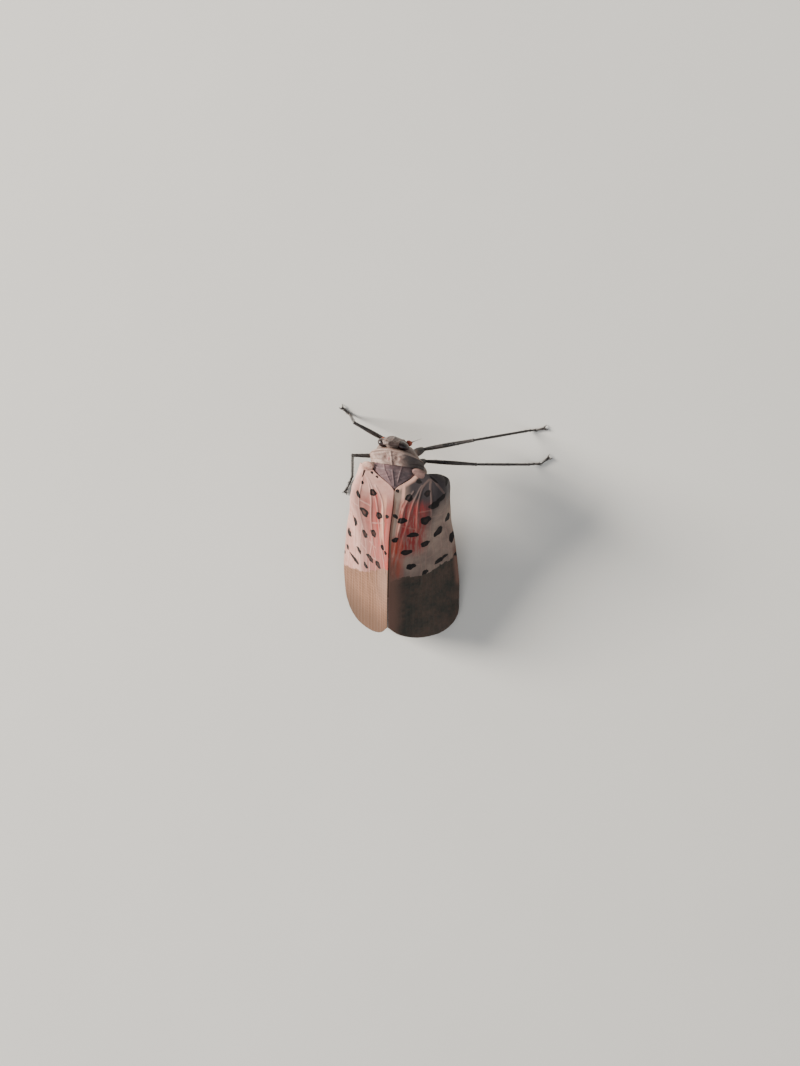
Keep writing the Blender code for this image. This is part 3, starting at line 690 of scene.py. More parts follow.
@dataclass(frozen=True)
class Plate(Finish):
    """A plate of the back: pale and mottled, with painted shade on one side and darker along its
    middle.
    """

    light: Colour = tone(214, 196, 186)
    deep: Colour = tone(160, 132, 124)
    stain: Colour = tone(128, 74, 70)
    shade: Colour = tone(104, 92, 96)
    cloud: float = 1500.0
    pit: float = 15000.0

    def lay(self, sheet: Sheet) -> tuple[Any, Any, Any]:
        """Clouds of the pale colours, stains in the middle, shade where the mask says.

        Args:
            sheet: The material's node sheet.

        Returns:
            Colour, height, and roughness or None where it is plain.
        """
        cloud, pit, wrinkle = self.grain(sheet)
        stain, shade, edge = sheet.masks("pattern")
        speck = sheet.span(sheet.noise(sheet.place(), 3200.0, 3.0, 0.7), 0.56, 0.68)
        colour = sheet.layers(self.light, (
            (cloud, self.deep),
            (shade, self.shade),
            (sheet.times(stain, speck), self.stain),
            (sheet.times(edge, 0.6), self.light),
        ))
        return colour, sheet.maths("ADD", pit, wrinkle), None


@dataclass(frozen=True)
class Flesh(Finish):
    """The body's skin: waxy pinkish head, brown thorax, yellow abdomen with black bands."""

    head: Colour = tone(104, 78, 69)
    head_deep: Colour = tone(48, 35, 31)
    # Whitish wax; where it lies thickest on the head's left side it is a painted highlight.
    wax: Colour = tone(162, 140, 131)
    chest: Colour = tone(120, 96, 84)
    chest_deep: Colour = tone(58, 46, 42)
    belly: Colour = tone(214, 168, 60)
    band: Colour = tone(26, 22, 20)
    limb: Colour = tone(40, 33, 31)
    cloud: float = 1300.0
    pit: float = 17000.0

    def lay(self, sheet: Sheet) -> tuple[Any, Any, Any]:
        """Chest first, then head, abdomen, bands, limbs, wax with a painted highlight on the head's
        left side, and grooves.

        Args:
            sheet: The material's node sheet.

        Returns:
            Colour, height, and roughness or None where it is plain.
        """
        cloud, pit, wrinkle = self.grain(sheet)
        head, belly, band = sheet.masks("zone")
        wax, limb, groove = sheet.masks("accent")
        dust = sheet.span(sheet.noise(sheet.place(), 2600.0, 5.0, 0.7), 0.42, 0.62)
        colour = sheet.layers(self.chest, (
            (cloud, self.chest_deep),
            (head, sheet.mix(cloud, self.head, self.head_deep)),
            (belly, self.belly),
            (band, self.band),
            (limb, self.limb),
            (sheet.times(wax, dust), self.wax),
            (sheet.times(groove, 0.7), self.chest_deep),
        ))
        return colour, sheet.maths("ADD", pit, wrinkle), None


@dataclass(frozen=True)
class Facets(Finish):
    """A compound eye: dark glossy cells in a fine honeycomb."""

    dark: Colour = tone(24, 15, 15)
    light: Colour = tone(72, 48, 46)
    pitch: float = 17000.0

    def lay(self, sheet: Sheet) -> tuple[Any, Any, Any]:
        """Honeycomb relief with a faint paler heart in each cell.

        Args:
            sheet: The material's node sheet.

        Returns:
            Colour, height, and roughness or None where it is plain.
        """
        place = sheet.place()
        cell = sheet.cells(place, self.pitch)
        cloud = sheet.span(sheet.noise(place, 1500.0), 0.35, 0.7)
        colour = sheet.mix(sheet.times(cloud, 0.6), self.dark, self.light)
        return colour, sheet.maths("SUBTRACT", 1.0, cell), None


@dataclass(frozen=True)
class Feeler(Finish):
    """Orange feeler with pale sense pits."""

    orange: Colour = tone(158, 58, 22)
    deep: Colour = tone(98, 32, 16)
    pale: Colour = tone(206, 146, 98)
    dark: Colour = tone(48, 30, 22)
    cloud: float = 2500.0
    pit: float = 9000.0

    def lay(self, sheet: Sheet) -> tuple[Any, Any, Any]:
        """Orange clouds with a pale dot in each pit; the bristle is dark.

        Args:
            sheet: The material's node sheet.

        Returns:
            Colour, height, and roughness or None where it is plain.
        """
        cloud, pit, _ = self.grain(sheet)
        dot = sheet.span(sheet.cells(sheet.place(), self.pit), 0.32, 0.18)
        colour = sheet.layers(self.orange, (
            (cloud, self.deep),
            (sheet.times(dot, 0.6), self.pale),
            (sheet.masks("pattern")[0], self.dark),
        ))
        return colour, pit, None


@dataclass(frozen=True)
class Plaster(Finish):
    """The plain pale floor."""

    light: Colour = tone(216, 214, 208)
    deep: Colour = tone(208, 206, 200)

    def lay(self, sheet: Sheet) -> tuple[Any, Any, Any]:
        """Two close pale tones."""
        cloud = sheet.noise(sheet.place(), 30.0)
        return sheet.mix(cloud, self.light, self.deep), cloud, None


LEG_BLACK = Chitin("leg_black", roughness=0.34, coat=0.25, relief=0.02)
SPINE_BLACK = Chitin("spine_black", roughness=0.3, coat=0.2, light=tone(48, 38, 32))
EYE_DARK = Facets(
    "eye_facets", roughness=0.3, coat=0.3, coat_roughness=0.1, specular=0.3, relief=0.02
)
FEELER_ORANGE = Feeler("feeler_orange", roughness=0.45, relief=0.04)
BODY_SKIN = Flesh("body_skin", roughness=0.55, relief=0.018, sheen=0.1)
COLLAR = Plate(
    "collar_plate", roughness=0.55, relief=0.02, light=tone(168, 142, 130), deep=tone(118, 92, 82),
    stain=tone(120, 58, 52), shade=tone(56, 50, 49),
)
SHIELD = Plate(
    "shield_plate", roughness=0.6, relief=0.015, light=tone(126, 98, 98), deep=tone(92, 70, 74),
    stain=tone(156, 88, 86), shade=tone(56, 46, 48),
)
HINGE = Plate(
    "hinge_scale", roughness=0.6, relief=0.02, light=tone(196, 158, 142), deep=tone(160, 116, 102)
)
# A darker copy of the hinge scale for the right side: painted shade.
HINGE_PAINTED_SHADE = Plate(
    "hinge_scale_painted_shade", roughness=0.6, relief=0.02, light=tone(150, 116, 106),
    deep=tone(104, 78, 72),
)
# The left forewing's colours are painted as sunlit, and the right's are a darker copy of them:
# painted shade.
WING_LEFT_PAINTED_SUNLIT = WingSkin("forewing_sunny", roughness=0.55, relief=0.015, specular=0.35)
WING_RIGHT_PAINTED_SHADE = WingSkin(
    "forewing_shaded", roughness=0.55, relief=0.015, specular=0.3, ground=tone(152, 130, 116),
    ground_deep=tone(120, 100, 91), painted_shade_and_deep_pink=tone(54, 47, 48), pink_and_painted_glow=tone(134, 44, 42),
    cream=tone(214, 166, 146), painted_red_glow=tone(166, 56, 34), vein=tone(148, 118, 106),
    spot_heart=tone(50, 34, 32), tip_cell=tone(30, 33, 27), tip_net=tone(42, 44, 37),
    tip_edge=tone(106, 76, 64), tip_blush=tone(32, 33, 28),
)
HINDWING = HindSkin("hindwing_red", roughness=0.5, relief=0.02)
FLOOR = Plaster("floor_plaster", roughness=0.8, relief=0.2)


# Mesh building


def signed_volume(mesh: Mesh) -> float:
    """Six times a closed mesh's volume, below zero where its faces point inwards.

    Args:
        mesh: The mesh, in any faces.

    Returns:
        The number, positive where faces point outwards.
    """
    mesh.calc_loop_triangles()
    corners = np.empty(len(mesh.loop_triangles) * 3, np.int32)
    mesh.loop_triangles.foreach_get("vertices", corners)
    points = read_points(mesh)[corners.reshape(-1, 3)]
    return float(np.einsum("ij,ij->i", points[:, 0], np.cross(points[:, 1], points[:, 2])).sum())


def read_points(mesh: Mesh) -> Points:
    """All vertex places of a mesh as an array.

    Args:
        mesh: The mesh to read.

    Returns:
        The places, one a row.
    """
    points = np.empty(len(mesh.vertices) * 3, np.float32)
    mesh.vertices.foreach_get("co", points)
    return points.reshape(-1, 3).astype(float)


def write_points(mesh: Mesh, points: Points) -> None:
    """Moves a mesh's vertices to new places."""
    mesh.vertices.foreach_set("co", np.ascontiguousarray(points, np.float32).ravel())
    mesh.update()


def read_layer(mesh: Mesh, name: str) -> Points:
    """One number a vertex, kept under a name.

    Args:
        mesh: The mesh to read.
        name: The layer's name.

    Returns:
        The numbers, one a vertex.
    """
    values = np.empty(len(mesh.vertices), np.float32)
    mesh.attributes[name].data.foreach_get("value", values)
    return values.astype(float)


def read_square(mesh: Mesh) -> tuple[Points, Points, Points]:
    """How far along and across a shell's vertices are, and their level."""
    along, across, level = (read_layer(mesh, name) for name in ("along", "across", "level"))
    return along, across, level


def write_masks(mesh: Mesh, name: str, masks: Sequence[Points]) -> None:
    """Stores up to three masks in one colour attribute, for the finishes to read.

    Args:
        mesh: The mesh to paint.
        name: The attribute's name.
        masks: Rows of numbers from 0 to 1, one a vertex.
    """
    rows = np.ones((len(mesh.vertices), 4), np.float32)
    for i, mask in enumerate(masks):
        rows[:, i] = np.clip(mask, 0.0, 1.0)
    layer = mesh.color_attributes.new(name, "FLOAT_COLOR", "POINT")
    layer.data.foreach_set("color", rows.ravel())


def write_chart(mesh: Mesh, name: str, along: Points, across: Points) -> None:
    """Stores where each vertex lies on a piece's flat chart, as a UV map.

    Args:
        mesh: The mesh to chart.
        name: The map's name.
        along: Places along it, one a vertex.
        across: Places across it.
    """
    corners = np.empty(len(mesh.loops), np.int32)
    mesh.loops.foreach_get("vertex_index", corners)
    rows = np.stack([along[corners], across[corners]], 1).astype(np.float32)
    mesh.uv_layers.new(name=name).uv.foreach_set("vector", rows.ravel())


def mesh_of(name: str, bm: Form) -> Mesh:
    """Turns a bmesh into a named mesh and frees it.

    Args:
        name: The mesh's name.
        bm: The bmesh, which is used up.

    Returns:
        The mesh.
    """
    mesh = bpy.data.meshes.new(name)
    bm.to_mesh(mesh)
    bm.free()
    return mesh


def finish_piece(mesh: Mesh, finish: Finish, nodes: Sequence[str]) -> Piece:
    """Makes a finished piece of a closed mesh in millimetres and hands it to the frame.

    Args:
        mesh: The piece's mesh, in the standing insect's millimetres.
        finish: Its finish.
        nodes: The CAD nodes that it stands for.

    Returns:
        The piece's object, at the origin.
    """
    if signed_volume(mesh) < 0:
        mesh.flip_normals()
    mesh.transform(Matrix.Scale(MM, 4))
    mesh.shade_smooth()
    mesh.materials.append(finish.make())
    piece = bpy.data.objects.new(mesh.name, mesh)
    bpy.context.scene.collection.objects.link(piece)
    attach(piece, BODY)
    if nodes:
        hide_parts(*nodes)
    LOG.info("%s: %d faces", mesh.name, len(mesh.polygons))
    return piece


def shell(name: str, rows: int, columns: int) -> Mesh:
    """A thin closed shell over the unit square, ready to be laid on a surface.

    Its vertices keep how far along and across they are, and their level: 0 above, 1 below.

    Args:
        name: The mesh's name.
        rows: Divisions along.
        columns: Divisions across.

    Returns:
        The mesh.
    """
    bm = bmesh.new()
    bmesh.ops.create_grid(bm, x_segments=columns, y_segments=rows, size=0.5)
    along = bm.verts.layers.float.new("along")
    across = bm.verts.layers.float.new("across")
    level = bm.verts.layers.float.new("level")
    for vert in bm.verts:
        vert[along] = vert.co.y + 0.5
        vert[across] = vert.co.x + 0.5
    made = bmesh.ops.extrude_face_region(bm, geom=bm.faces[:], use_keep_orig=True)
    below = [item for item in made["geom"] if isinstance(item, bmesh.types.BMVert)]
    bmesh.ops.translate(bm, vec=(0, 0, -0.1), verts=below)
    for vert in below:
        vert[level] = 1.0
    bmesh.ops.recalc_face_normals(bm, faces=bm.faces)
    return mesh_of(name, bm)


def sweep(points: Sequence[Vector], radii: Sequence[float], sides: int, flat: float = 1.0) -> Form:
    """A closed limb: a ring drawn along a path by extrusion, turned and scaled at each step.

    Args:
        points: The path.
        radii: The ring's radius at each point.
        sides: The ring's number of corners.
        flat: How thick it is, as a share of its width.

    Returns:
        The closed bmesh.
    """
    bm = bmesh.new()
    bmesh.ops.create_circle(bm, cap_ends=False, segments=sides, radius=1.0)
    ring_verts = bm.verts[:]
    ring_edges = bm.edges[:]
    ends = [ring_edges]
    turn = Matrix.Identity(3)
    heading = Vector((0, 0, 1))
    before = Matrix.Identity(4)
    for i, (point, radius) in enumerate(zip(points, radii)):
        behind = points[max(i - 1, 0)]
        ahead = points[min(i + 1, len(points) - 1)]
        way = (ahead - behind).normalized()
        turn = heading.rotation_difference(way).to_matrix() @ turn
        heading = way
        grow = Matrix.Diagonal((radius, radius * flat, 1.0, 1.0))
        here = Matrix.Translation(point) @ turn.to_4x4() @ grow
        if i:
            made = bmesh.ops.extrude_edge_only(bm, edges=ring_edges)["geom"]
            ring_verts = [item for item in made if isinstance(item, bmesh.types.BMVert)]
            ring_edges = [item for item in made if isinstance(item, bmesh.types.BMEdge)]
        bmesh.ops.transform(bm, matrix=here @ before.inverted(), verts=ring_verts)
        before = here
    ends.append(ring_edges)
    for edges in ends:
        bmesh.ops.holes_fill(bm, edges=[edge for edge in edges if edge.is_boundary], sides=0)
    bmesh.ops.recalc_face_normals(bm, faces=bm.faces)
    return bm


def rounded(
    start: Vector, end: Vector, radius: float, belly: float, steps: int = 12
) -> tuple[list[Vector], list[float]]:
    """Path and radii of a straight segment with round ends, swelling towards its middle.

    Args:
        start: Where it starts.
        end: Where it ends.
        radius: Radius near the ends.
        belly: How much wider the middle is.
        steps: Divisions along.

    Returns:
        The path, and the radius at each of its points.
    """
    path, radii = [], []
    length = (end - start).length
    for i in range(steps + 1):
        t = 0.5 - 0.5 * math.cos(math.pi * i / steps)
        near = min(t, 1 - t) * length
        cap = math.sqrt(max(0.0, 1 - max(0.0, 1 - near / radius) ** 2)) if near < radius else 1.0
        swell = 1 + (belly - 1) * math.sin(math.pi * min(1.0, t * 1.15))
        path.append(start.lerp(end, t))
        radii.append(max(0.02, radius * swell * max(cap, 0.12)))
    return path, radii


def gather(parts: Sequence[Form]) -> Form:
    """Puts several closed forms in one bmesh.

    Args:
        parts: Closed forms, which are used up.

    Returns:
        The bmesh that holds them all.
    """
    whole = bmesh.new()
    for part in parts:
        mesh = mesh_of("part", part)
        whole.from_mesh(mesh)
        bpy.data.meshes.remove(mesh)
    return whole


def cone(root: Vector, tip: Vector, radius: float, sides: int = 6, point: float = 0.12) -> Form:
    """A thorn from root to tip, as one small closed cone.

    Args:
        root: Middle of its foot.
        tip: Its point.
        radius: Radius at its foot.
        sides: Corners round it.
        point: How wide the point is, as a share of the foot.

    Returns:
        The closed bmesh.
    """
    bm = bmesh.new()
    way = tip - root
    bmesh.ops.create_cone(
        bm, cap_ends=True, segments=sides, radius1=radius, radius2=radius * point, depth=way.length
    )
    turn = Vector((0, 0, 1)).rotation_difference(way.normalized()).to_matrix().to_4x4()
    bmesh.ops.transform(bm, matrix=Matrix.Translation((root + tip) / 2) @ turn, verts=bm.verts)
    return bm


# Wings


@dataclass(frozen=True)
class Spot:
    """A dark spot on a wing: its middle, its two sizes, its turn in degrees and its pale heart."""

    s: float
    w: float
    length: float
    width: float
    turn: float = 30.0
    heart: float = 0.0

    def reach(self, s: Points, w: Points) -> Points:
        """How far out points lie, 1 on the spot's edge, which wavers a little.

        Args:
            s: Distances behind the tip of the head.
            w: Distances from the ridge.

        Returns:
            How far out each point lies.
        """
        a = math.radians(self.turn)
        ds, dw = s - self.s, w - self.w
        along = (ds * math.cos(a) - dw * math.sin(a)) / (self.length / 2)
        side = (ds * math.sin(a) + dw * math.cos(a)) / (self.width / 2)
        way = np.arctan2(side, along)
        waver = 1 + 0.09 * np.sin(3 * way + 7 * self.s) + 0.06 * np.sin(5 * way + 11 * self.w)
        return np.hypot(along, side) / waver


LEFT_SPOTS = (
    Spot(3.75, 3.42, 1.6, 0.26, -24, 0.5), Spot(3.72, 2.45, 0.34, 0.34),
    Spot(4.1, 1.9, 0.3, 0.34, 0, 0.9), Spot(5.12, 3.72, 0.46, 0.34, 10),
    Spot(6.72, 4.26, 0.98, 0.54, 22), Spot(6.08, 2.42, 0.88, 0.78, 20, 0.6),
    Spot(8.94, 3.58, 1.28, 1.08, 30, 0.8), Spot(11.6, 6.22, 1.18, 0.98, 34),
    Spot(8.78, 1.58, 0.88, 0.84, 35, 0.7), Spot(8.64, 0.58, 0.48, 0.5, 60),
    Spot(13.96, 7.7, 1.05, 0.98, 36), Spot(12.3, 4.16, 1.05, 0.94, 48, 0.4),
    Spot(11.46, 2.56, 1.02, 1.0, 80, 0.6), Spot(16.1, 8.12, 0.7, 0.62, 30),
    Spot(12.7, 1.0, 0.72, 0.56, 40), Spot(15.18, 5.62, 1.0, 0.66, 60),
    Spot(13.2, 0.5, 0.55, 0.42, 45), Spot(17.1, 8.8, 0.42, 0.4, 50, 0.9),
    Spot(16.87, 6.6, 2.1, 0.54, 74), Spot(15.18, 3.46, 1.3, 0.78, 62, 0.5),
    Spot(15.36, 1.95, 1.2, 0.78, 62, 0.4), Spot(16.58, 4.34, 0.9, 0.64, 55),
    Spot(18.75, 8.05, 0.36, 0.36, 40, 0.9),
)
RIGHT_SPOTS = (
    Spot(8.42, 0.36, 0.75, 0.4, -50), Spot(8.92, 1.12, 0.98, 0.74, 75, 0.5),
    Spot(3.98, 2.7, 0.54, 0.54), Spot(6.04, 1.62, 0.92, 0.8, 20, 0.6),
    Spot(5.3, 3.5, 0.9, 0.54, 12, 0.4), Spot(5.84, 5.02, 1.15, 0.68, 45),
    Spot(6.72, 4.4, 1.32, 0.9, 46), Spot(8.82, 3.61, 1.34, 1.08, 48, 0.7),
    Spot(9.6, 7.13, 1.2, 0.84, 15, 0.3), Spot(10.82, 2.36, 1.2, 0.66, 84, 0.4),
    Spot(11.1, 5.72, 1.6, 1.0, 48, 0.4), Spot(12.6, 7.95, 1.4, 0.8, 15),
    Spot(11.42, 0.62, 0.74, 0.58, 45, 0.5), Spot(12.29, 3.88, 1.22, 0.74, 74, 0.5),
    Spot(13.12, 1.82, 1.2, 0.68, 84, 0.5), Spot(15.06, 6.33, 2.15, 0.56, 70),
    Spot(15.08, 2.36, 1.05, 0.74, 76), Spot(16.21, 4.1, 0.92, 0.62, 62),
    Spot(15.3, 8.5, 1.2, 0.6, 15), Spot(5.33, 0.36, 0.42, 0.42, 10, 0.8),
    Spot(4.05, 5.35, 1.05, 0.62, 10), Spot(3.62, 3.95, 0.9, 0.22, -30),
)
FORE_SPOTS = {Side.LEFT: LEFT_SPOTS, Side.RIGHT: RIGHT_SPOTS}
HIND_SPOTS = (
    Spot(8.4, 1.2, 0.8, 0.7), Spot(9.8, 2.8, 0.9, 0.7), Spot(11.2, 1.1, 0.8, 0.8),
    Spot(8.8, 3.9, 0.8, 0.5), Spot(11.6, 4.2, 0.9, 0.7), Spot(12.9, 2.6, 0.9, 0.8),
)


@dataclass
class Veins:
    """Lines of the forewing's veins in (s, w), forking twice from three stems."""

    root: tuple[float, float] = (3.3, 3.85)
    stem_start: float = 3.6
    fan_end: float = 8.0
    width: Curve = Curve(
        ((3, 4.2), (5.2, 6.9), (7, 7.5), (10, 7.9), (13, 8.4), (19, 9), (25.2, 9.3))
    )
    stems: tuple[tuple[float, float], ...] = ((0.8, 9.0), (0.53, 10.6), (0.32, 12.0))
    spread: float = 0.07
    forks: tuple[tuple[float, float], ...] = ((16.2, 17.4), (15.6, 18.0), (16.8, 17.8))
    ends: tuple = (
        ((0.9, 0.83), (0.76, 0.69)), ((0.62, 0.55), (0.48, 0.41)), ((0.34, 0.27), (0.2, 0.13))
    )
    fork_reach: float = 3.5

    def place(self, s: Points, share: Points) -> Points:
        """Distance from the ridge at a share of the wing's width."""
        t = np.clip((s - self.root[0]) / (self.fan_end - self.root[0]), 0.0, 1.0)
        return self.root[1] + (HALF_GAP + share * self.width(s) - self.root[1]) * t * (2 - t)

    def share(self, s: Points, w: Points) -> Points:
        """The share of the wing's width at which points lie, the other way round."""
        t = np.clip((s - self.root[0]) / (self.fan_end - self.root[0]), 0.05, 1.0)
        return ((w - self.root[1]) / (t * (2 - t)) + self.root[1] - HALF_GAP) / self.width(s)

    def run(self, start: float, end: float, first: float, last: float) -> Line:
        """One vein that moves from one share to another after a fork.

        Args:
            start: Where it starts.
            end: Where it ends.
            first: Its share of the wing's width up to the fork.
            last: Its share after it.

        Returns:
            Its points in (s, w).
        """
        s = np.linspace(start, end, max(3, round((end - start) / 0.5)))
        share = first + (last - first) * ease((s - start) / min(self.fork_reach, end - start))
        return list(zip(s, self.place(s, share)))

    def main(self) -> list[Line]:
        """Stems and their branches, out to the margin.

        Returns:
            The lines.
        """
        lines = []
        for (stem, fork), seconds, pairs in zip(self.stems, self.forks, self.ends):
            lines.append(self.run(self.stem_start, fork, stem, stem))
            for sign, second, pair in zip((1, -1), seconds, pairs):
                branch = stem + sign * self.spread
                lines.append(self.run(fork, second, stem, branch))
                lines.extend(self.run(second, WING_END, branch, share) for share in pair)
        for start, end, first, last in ((4.4, 15.8, 0.27, 0.04), (5.2, 13.6, 0.15, 0.045)):
            s = np.linspace(start, end, 24)
            share = first + (last - first) * ((s - start) / (end - start)) ** 1.3
            lines.append(list(zip(s, self.place(s, share))))
        return lines

    def cross(self) -> list[Line]:
        """Short cross veins between the main ones, before the net starts.

        Returns:
            The lines.
        """
        dice = np.random.default_rng(SEED)
        lines = []
        for s, low, high in (
            (7.6, 0.34, 0.52), (8.4, 0.55, 0.78), (11.6, 0.62, 0.72), (12.2, 0.41, 0.45),
            (13.1, 0.26, 0.38), (13.8, 0.74, 0.86), (14.2, 0.47, 0.59), (15.1, 0.61, 0.72),
            (9.8, 0.1, 0.3), (11.2, 0.83, 0.94), (6.6, 0.8, 0.95), (14.9, 0.24, 0.38),
        ):
            tilt = dice.uniform(-0.25, 0.25)
            ends = np.array([s - tilt, s + tilt])
            lines.append(list(zip(ends, self.place(ends, np.array([low, high])))))
        return lines


def from_lines(s: Points, w: Points, lines: Sequence[Line]) -> Points:
    """Distance from each point to the nearest of some lines.

    Args:
        s: Distances behind the tip of the head.
        w: Distances from the ridge.
        lines: The lines.

    Returns:
        The distances.
    """
    nearest = np.full(s.shape, 1e9)
    for line in lines:
        for (s0, w0), (s1, w1) in zip(line, line[1:]):
            ds, dw = s1 - s0, w1 - w0
            t = np.clip(((s - s0) * ds + (w - w0) * dw) / max(ds * ds + dw * dw, 1e-9), 0, 1)
            nearest = np.minimum(nearest, np.hypot(s0 + ds * t - s, w0 + dw * t - w))
    return nearest


@dataclass
class Wing:
    """A folded wing laid on the roof: a thin membrane between its four margins."""

    side: Side
    stance: Stance
    roof: Roof
    inner: Margin
    apex: Margin
    costal: Margin
    base: Margin
    rows: int = 300
    columns: int = 140
    depth: float = 0.0
    thick: float = 0.2
    rim_share: float = 0.45
    under_relief: float = 0.4
    sway: float = 0.34
    splay_from: float = 2.4
    splay: dict[Side, Curve] = field(
        default_factory=lambda: {
            Side.LEFT: Curve(((2.7, 0.35), (5, 0.3), (7, 0.2), (9, 0.05), (11, 0), (25.2, 0))),
            Side.RIGHT: Curve(
                (
                    (2.7, 0.2), (3.1, 0.4), (3.6, 0.75), (4, 0.9), (5, 0.55), (6, 0.2), (8, -0.3),
                    (10, -0.52), (12, -0.55), (18, -0.5), (21, -0.3), (24, 0), (25.2, 0),
                )
            ),
        }
    )

    def lay_out(self, along: Points, across: Points) -> tuple[Points, Points]:
        """Spreads the unit square between the four margins.

        Args:
            along: Share of the way from base to apex.
            across: Share of the way from the inner to the costal margin.

        Returns:
            s and w of each point.
        """
        out = []
        edges = (
            self.inner.at(along), self.costal.at(along), self.base.at(across), self.apex.at(across)
        )
        for k, (inner, costal, base, apex) in enumerate(zip(*edges)):
            corners = [edge.points[i][k] for edge in (self.base, self.apex) for i in (0, -1)]
            value = (1 - across) * inner + across * costal + (1 - along) * base + along * apex
            value -= (1 - along) * ((1 - across) * corners[0] + across * corners[1])
            value -= along * ((1 - across) * corners[2] + across * corners[3])
            out.append(value)
        return out[0], out[1]

    def build(self, name: str, finish: Finish, slot: Slot) -> Piece:
        """Builds the wing and its masks as one piece.

        Args:
            name: The wing's name without its side.
            finish: Its finish.
            slot: Not used.

        Returns:
            The finished piece.
        """
        mesh = shell(f"{name}_{self.side.label}", self.rows, self.columns)
        along, across, level = read_square(mesh)
        s, w = self.lay_out(along, across)
        rim = np.minimum.reduce([across * 9, (1 - across) * 9, (1 - along) * 22, along * 22])
        thick = self.thick * (self.rim_share + (1 - self.rim_share) * fade(rim, 0.0, 0.25))
        rise = self.relief(s, w) * np.where(level > 0.5, -self.under_relief, 1.0)
        depth = self.depth + np.where(level > 0.5, thick, 0.0) - rise
        points = self.roof.point(s, w, depth)
        points[:, 0] *= self.side.value
        points[:, 0] -= self.sway * fade(s, 6.0, 12.0) * fade(w, 3.4, 0.0)
        points[:, 0] += self.splay[self.side](s) * fade(w, self.splay_from, self.roof.bend_to(s))
        write_points(mesh, self.stance.place(points))
        self.paint(mesh, s, w)
        return finish_piece(mesh, finish, [f"{name}_{self.side.label}"])

    def relief(self, s: Points, w: Points) -> Points:
        """Height of the veins over the membrane."""
        raise NotImplementedError

    def paint(self, mesh: Mesh, s: Points, w: Points) -> None:
        """Stores the masks of the wing's pattern."""
        raise NotImplementedError


@dataclass(frozen=True)
class Tints:
    """How strongly each tint lies on a forewing, from 0 to 1 at every vertex; the glows are partly
    painted light shining through, the line is a painted shadow, and the deep tone and tip edge are
    partly painted shade.
    """

    pink_and_painted_glow: Points
    painted_red_glow: Points
    cream: Points
    tip_edge: Points
    line: Points
    painted_shade_and_deep_pink: Points


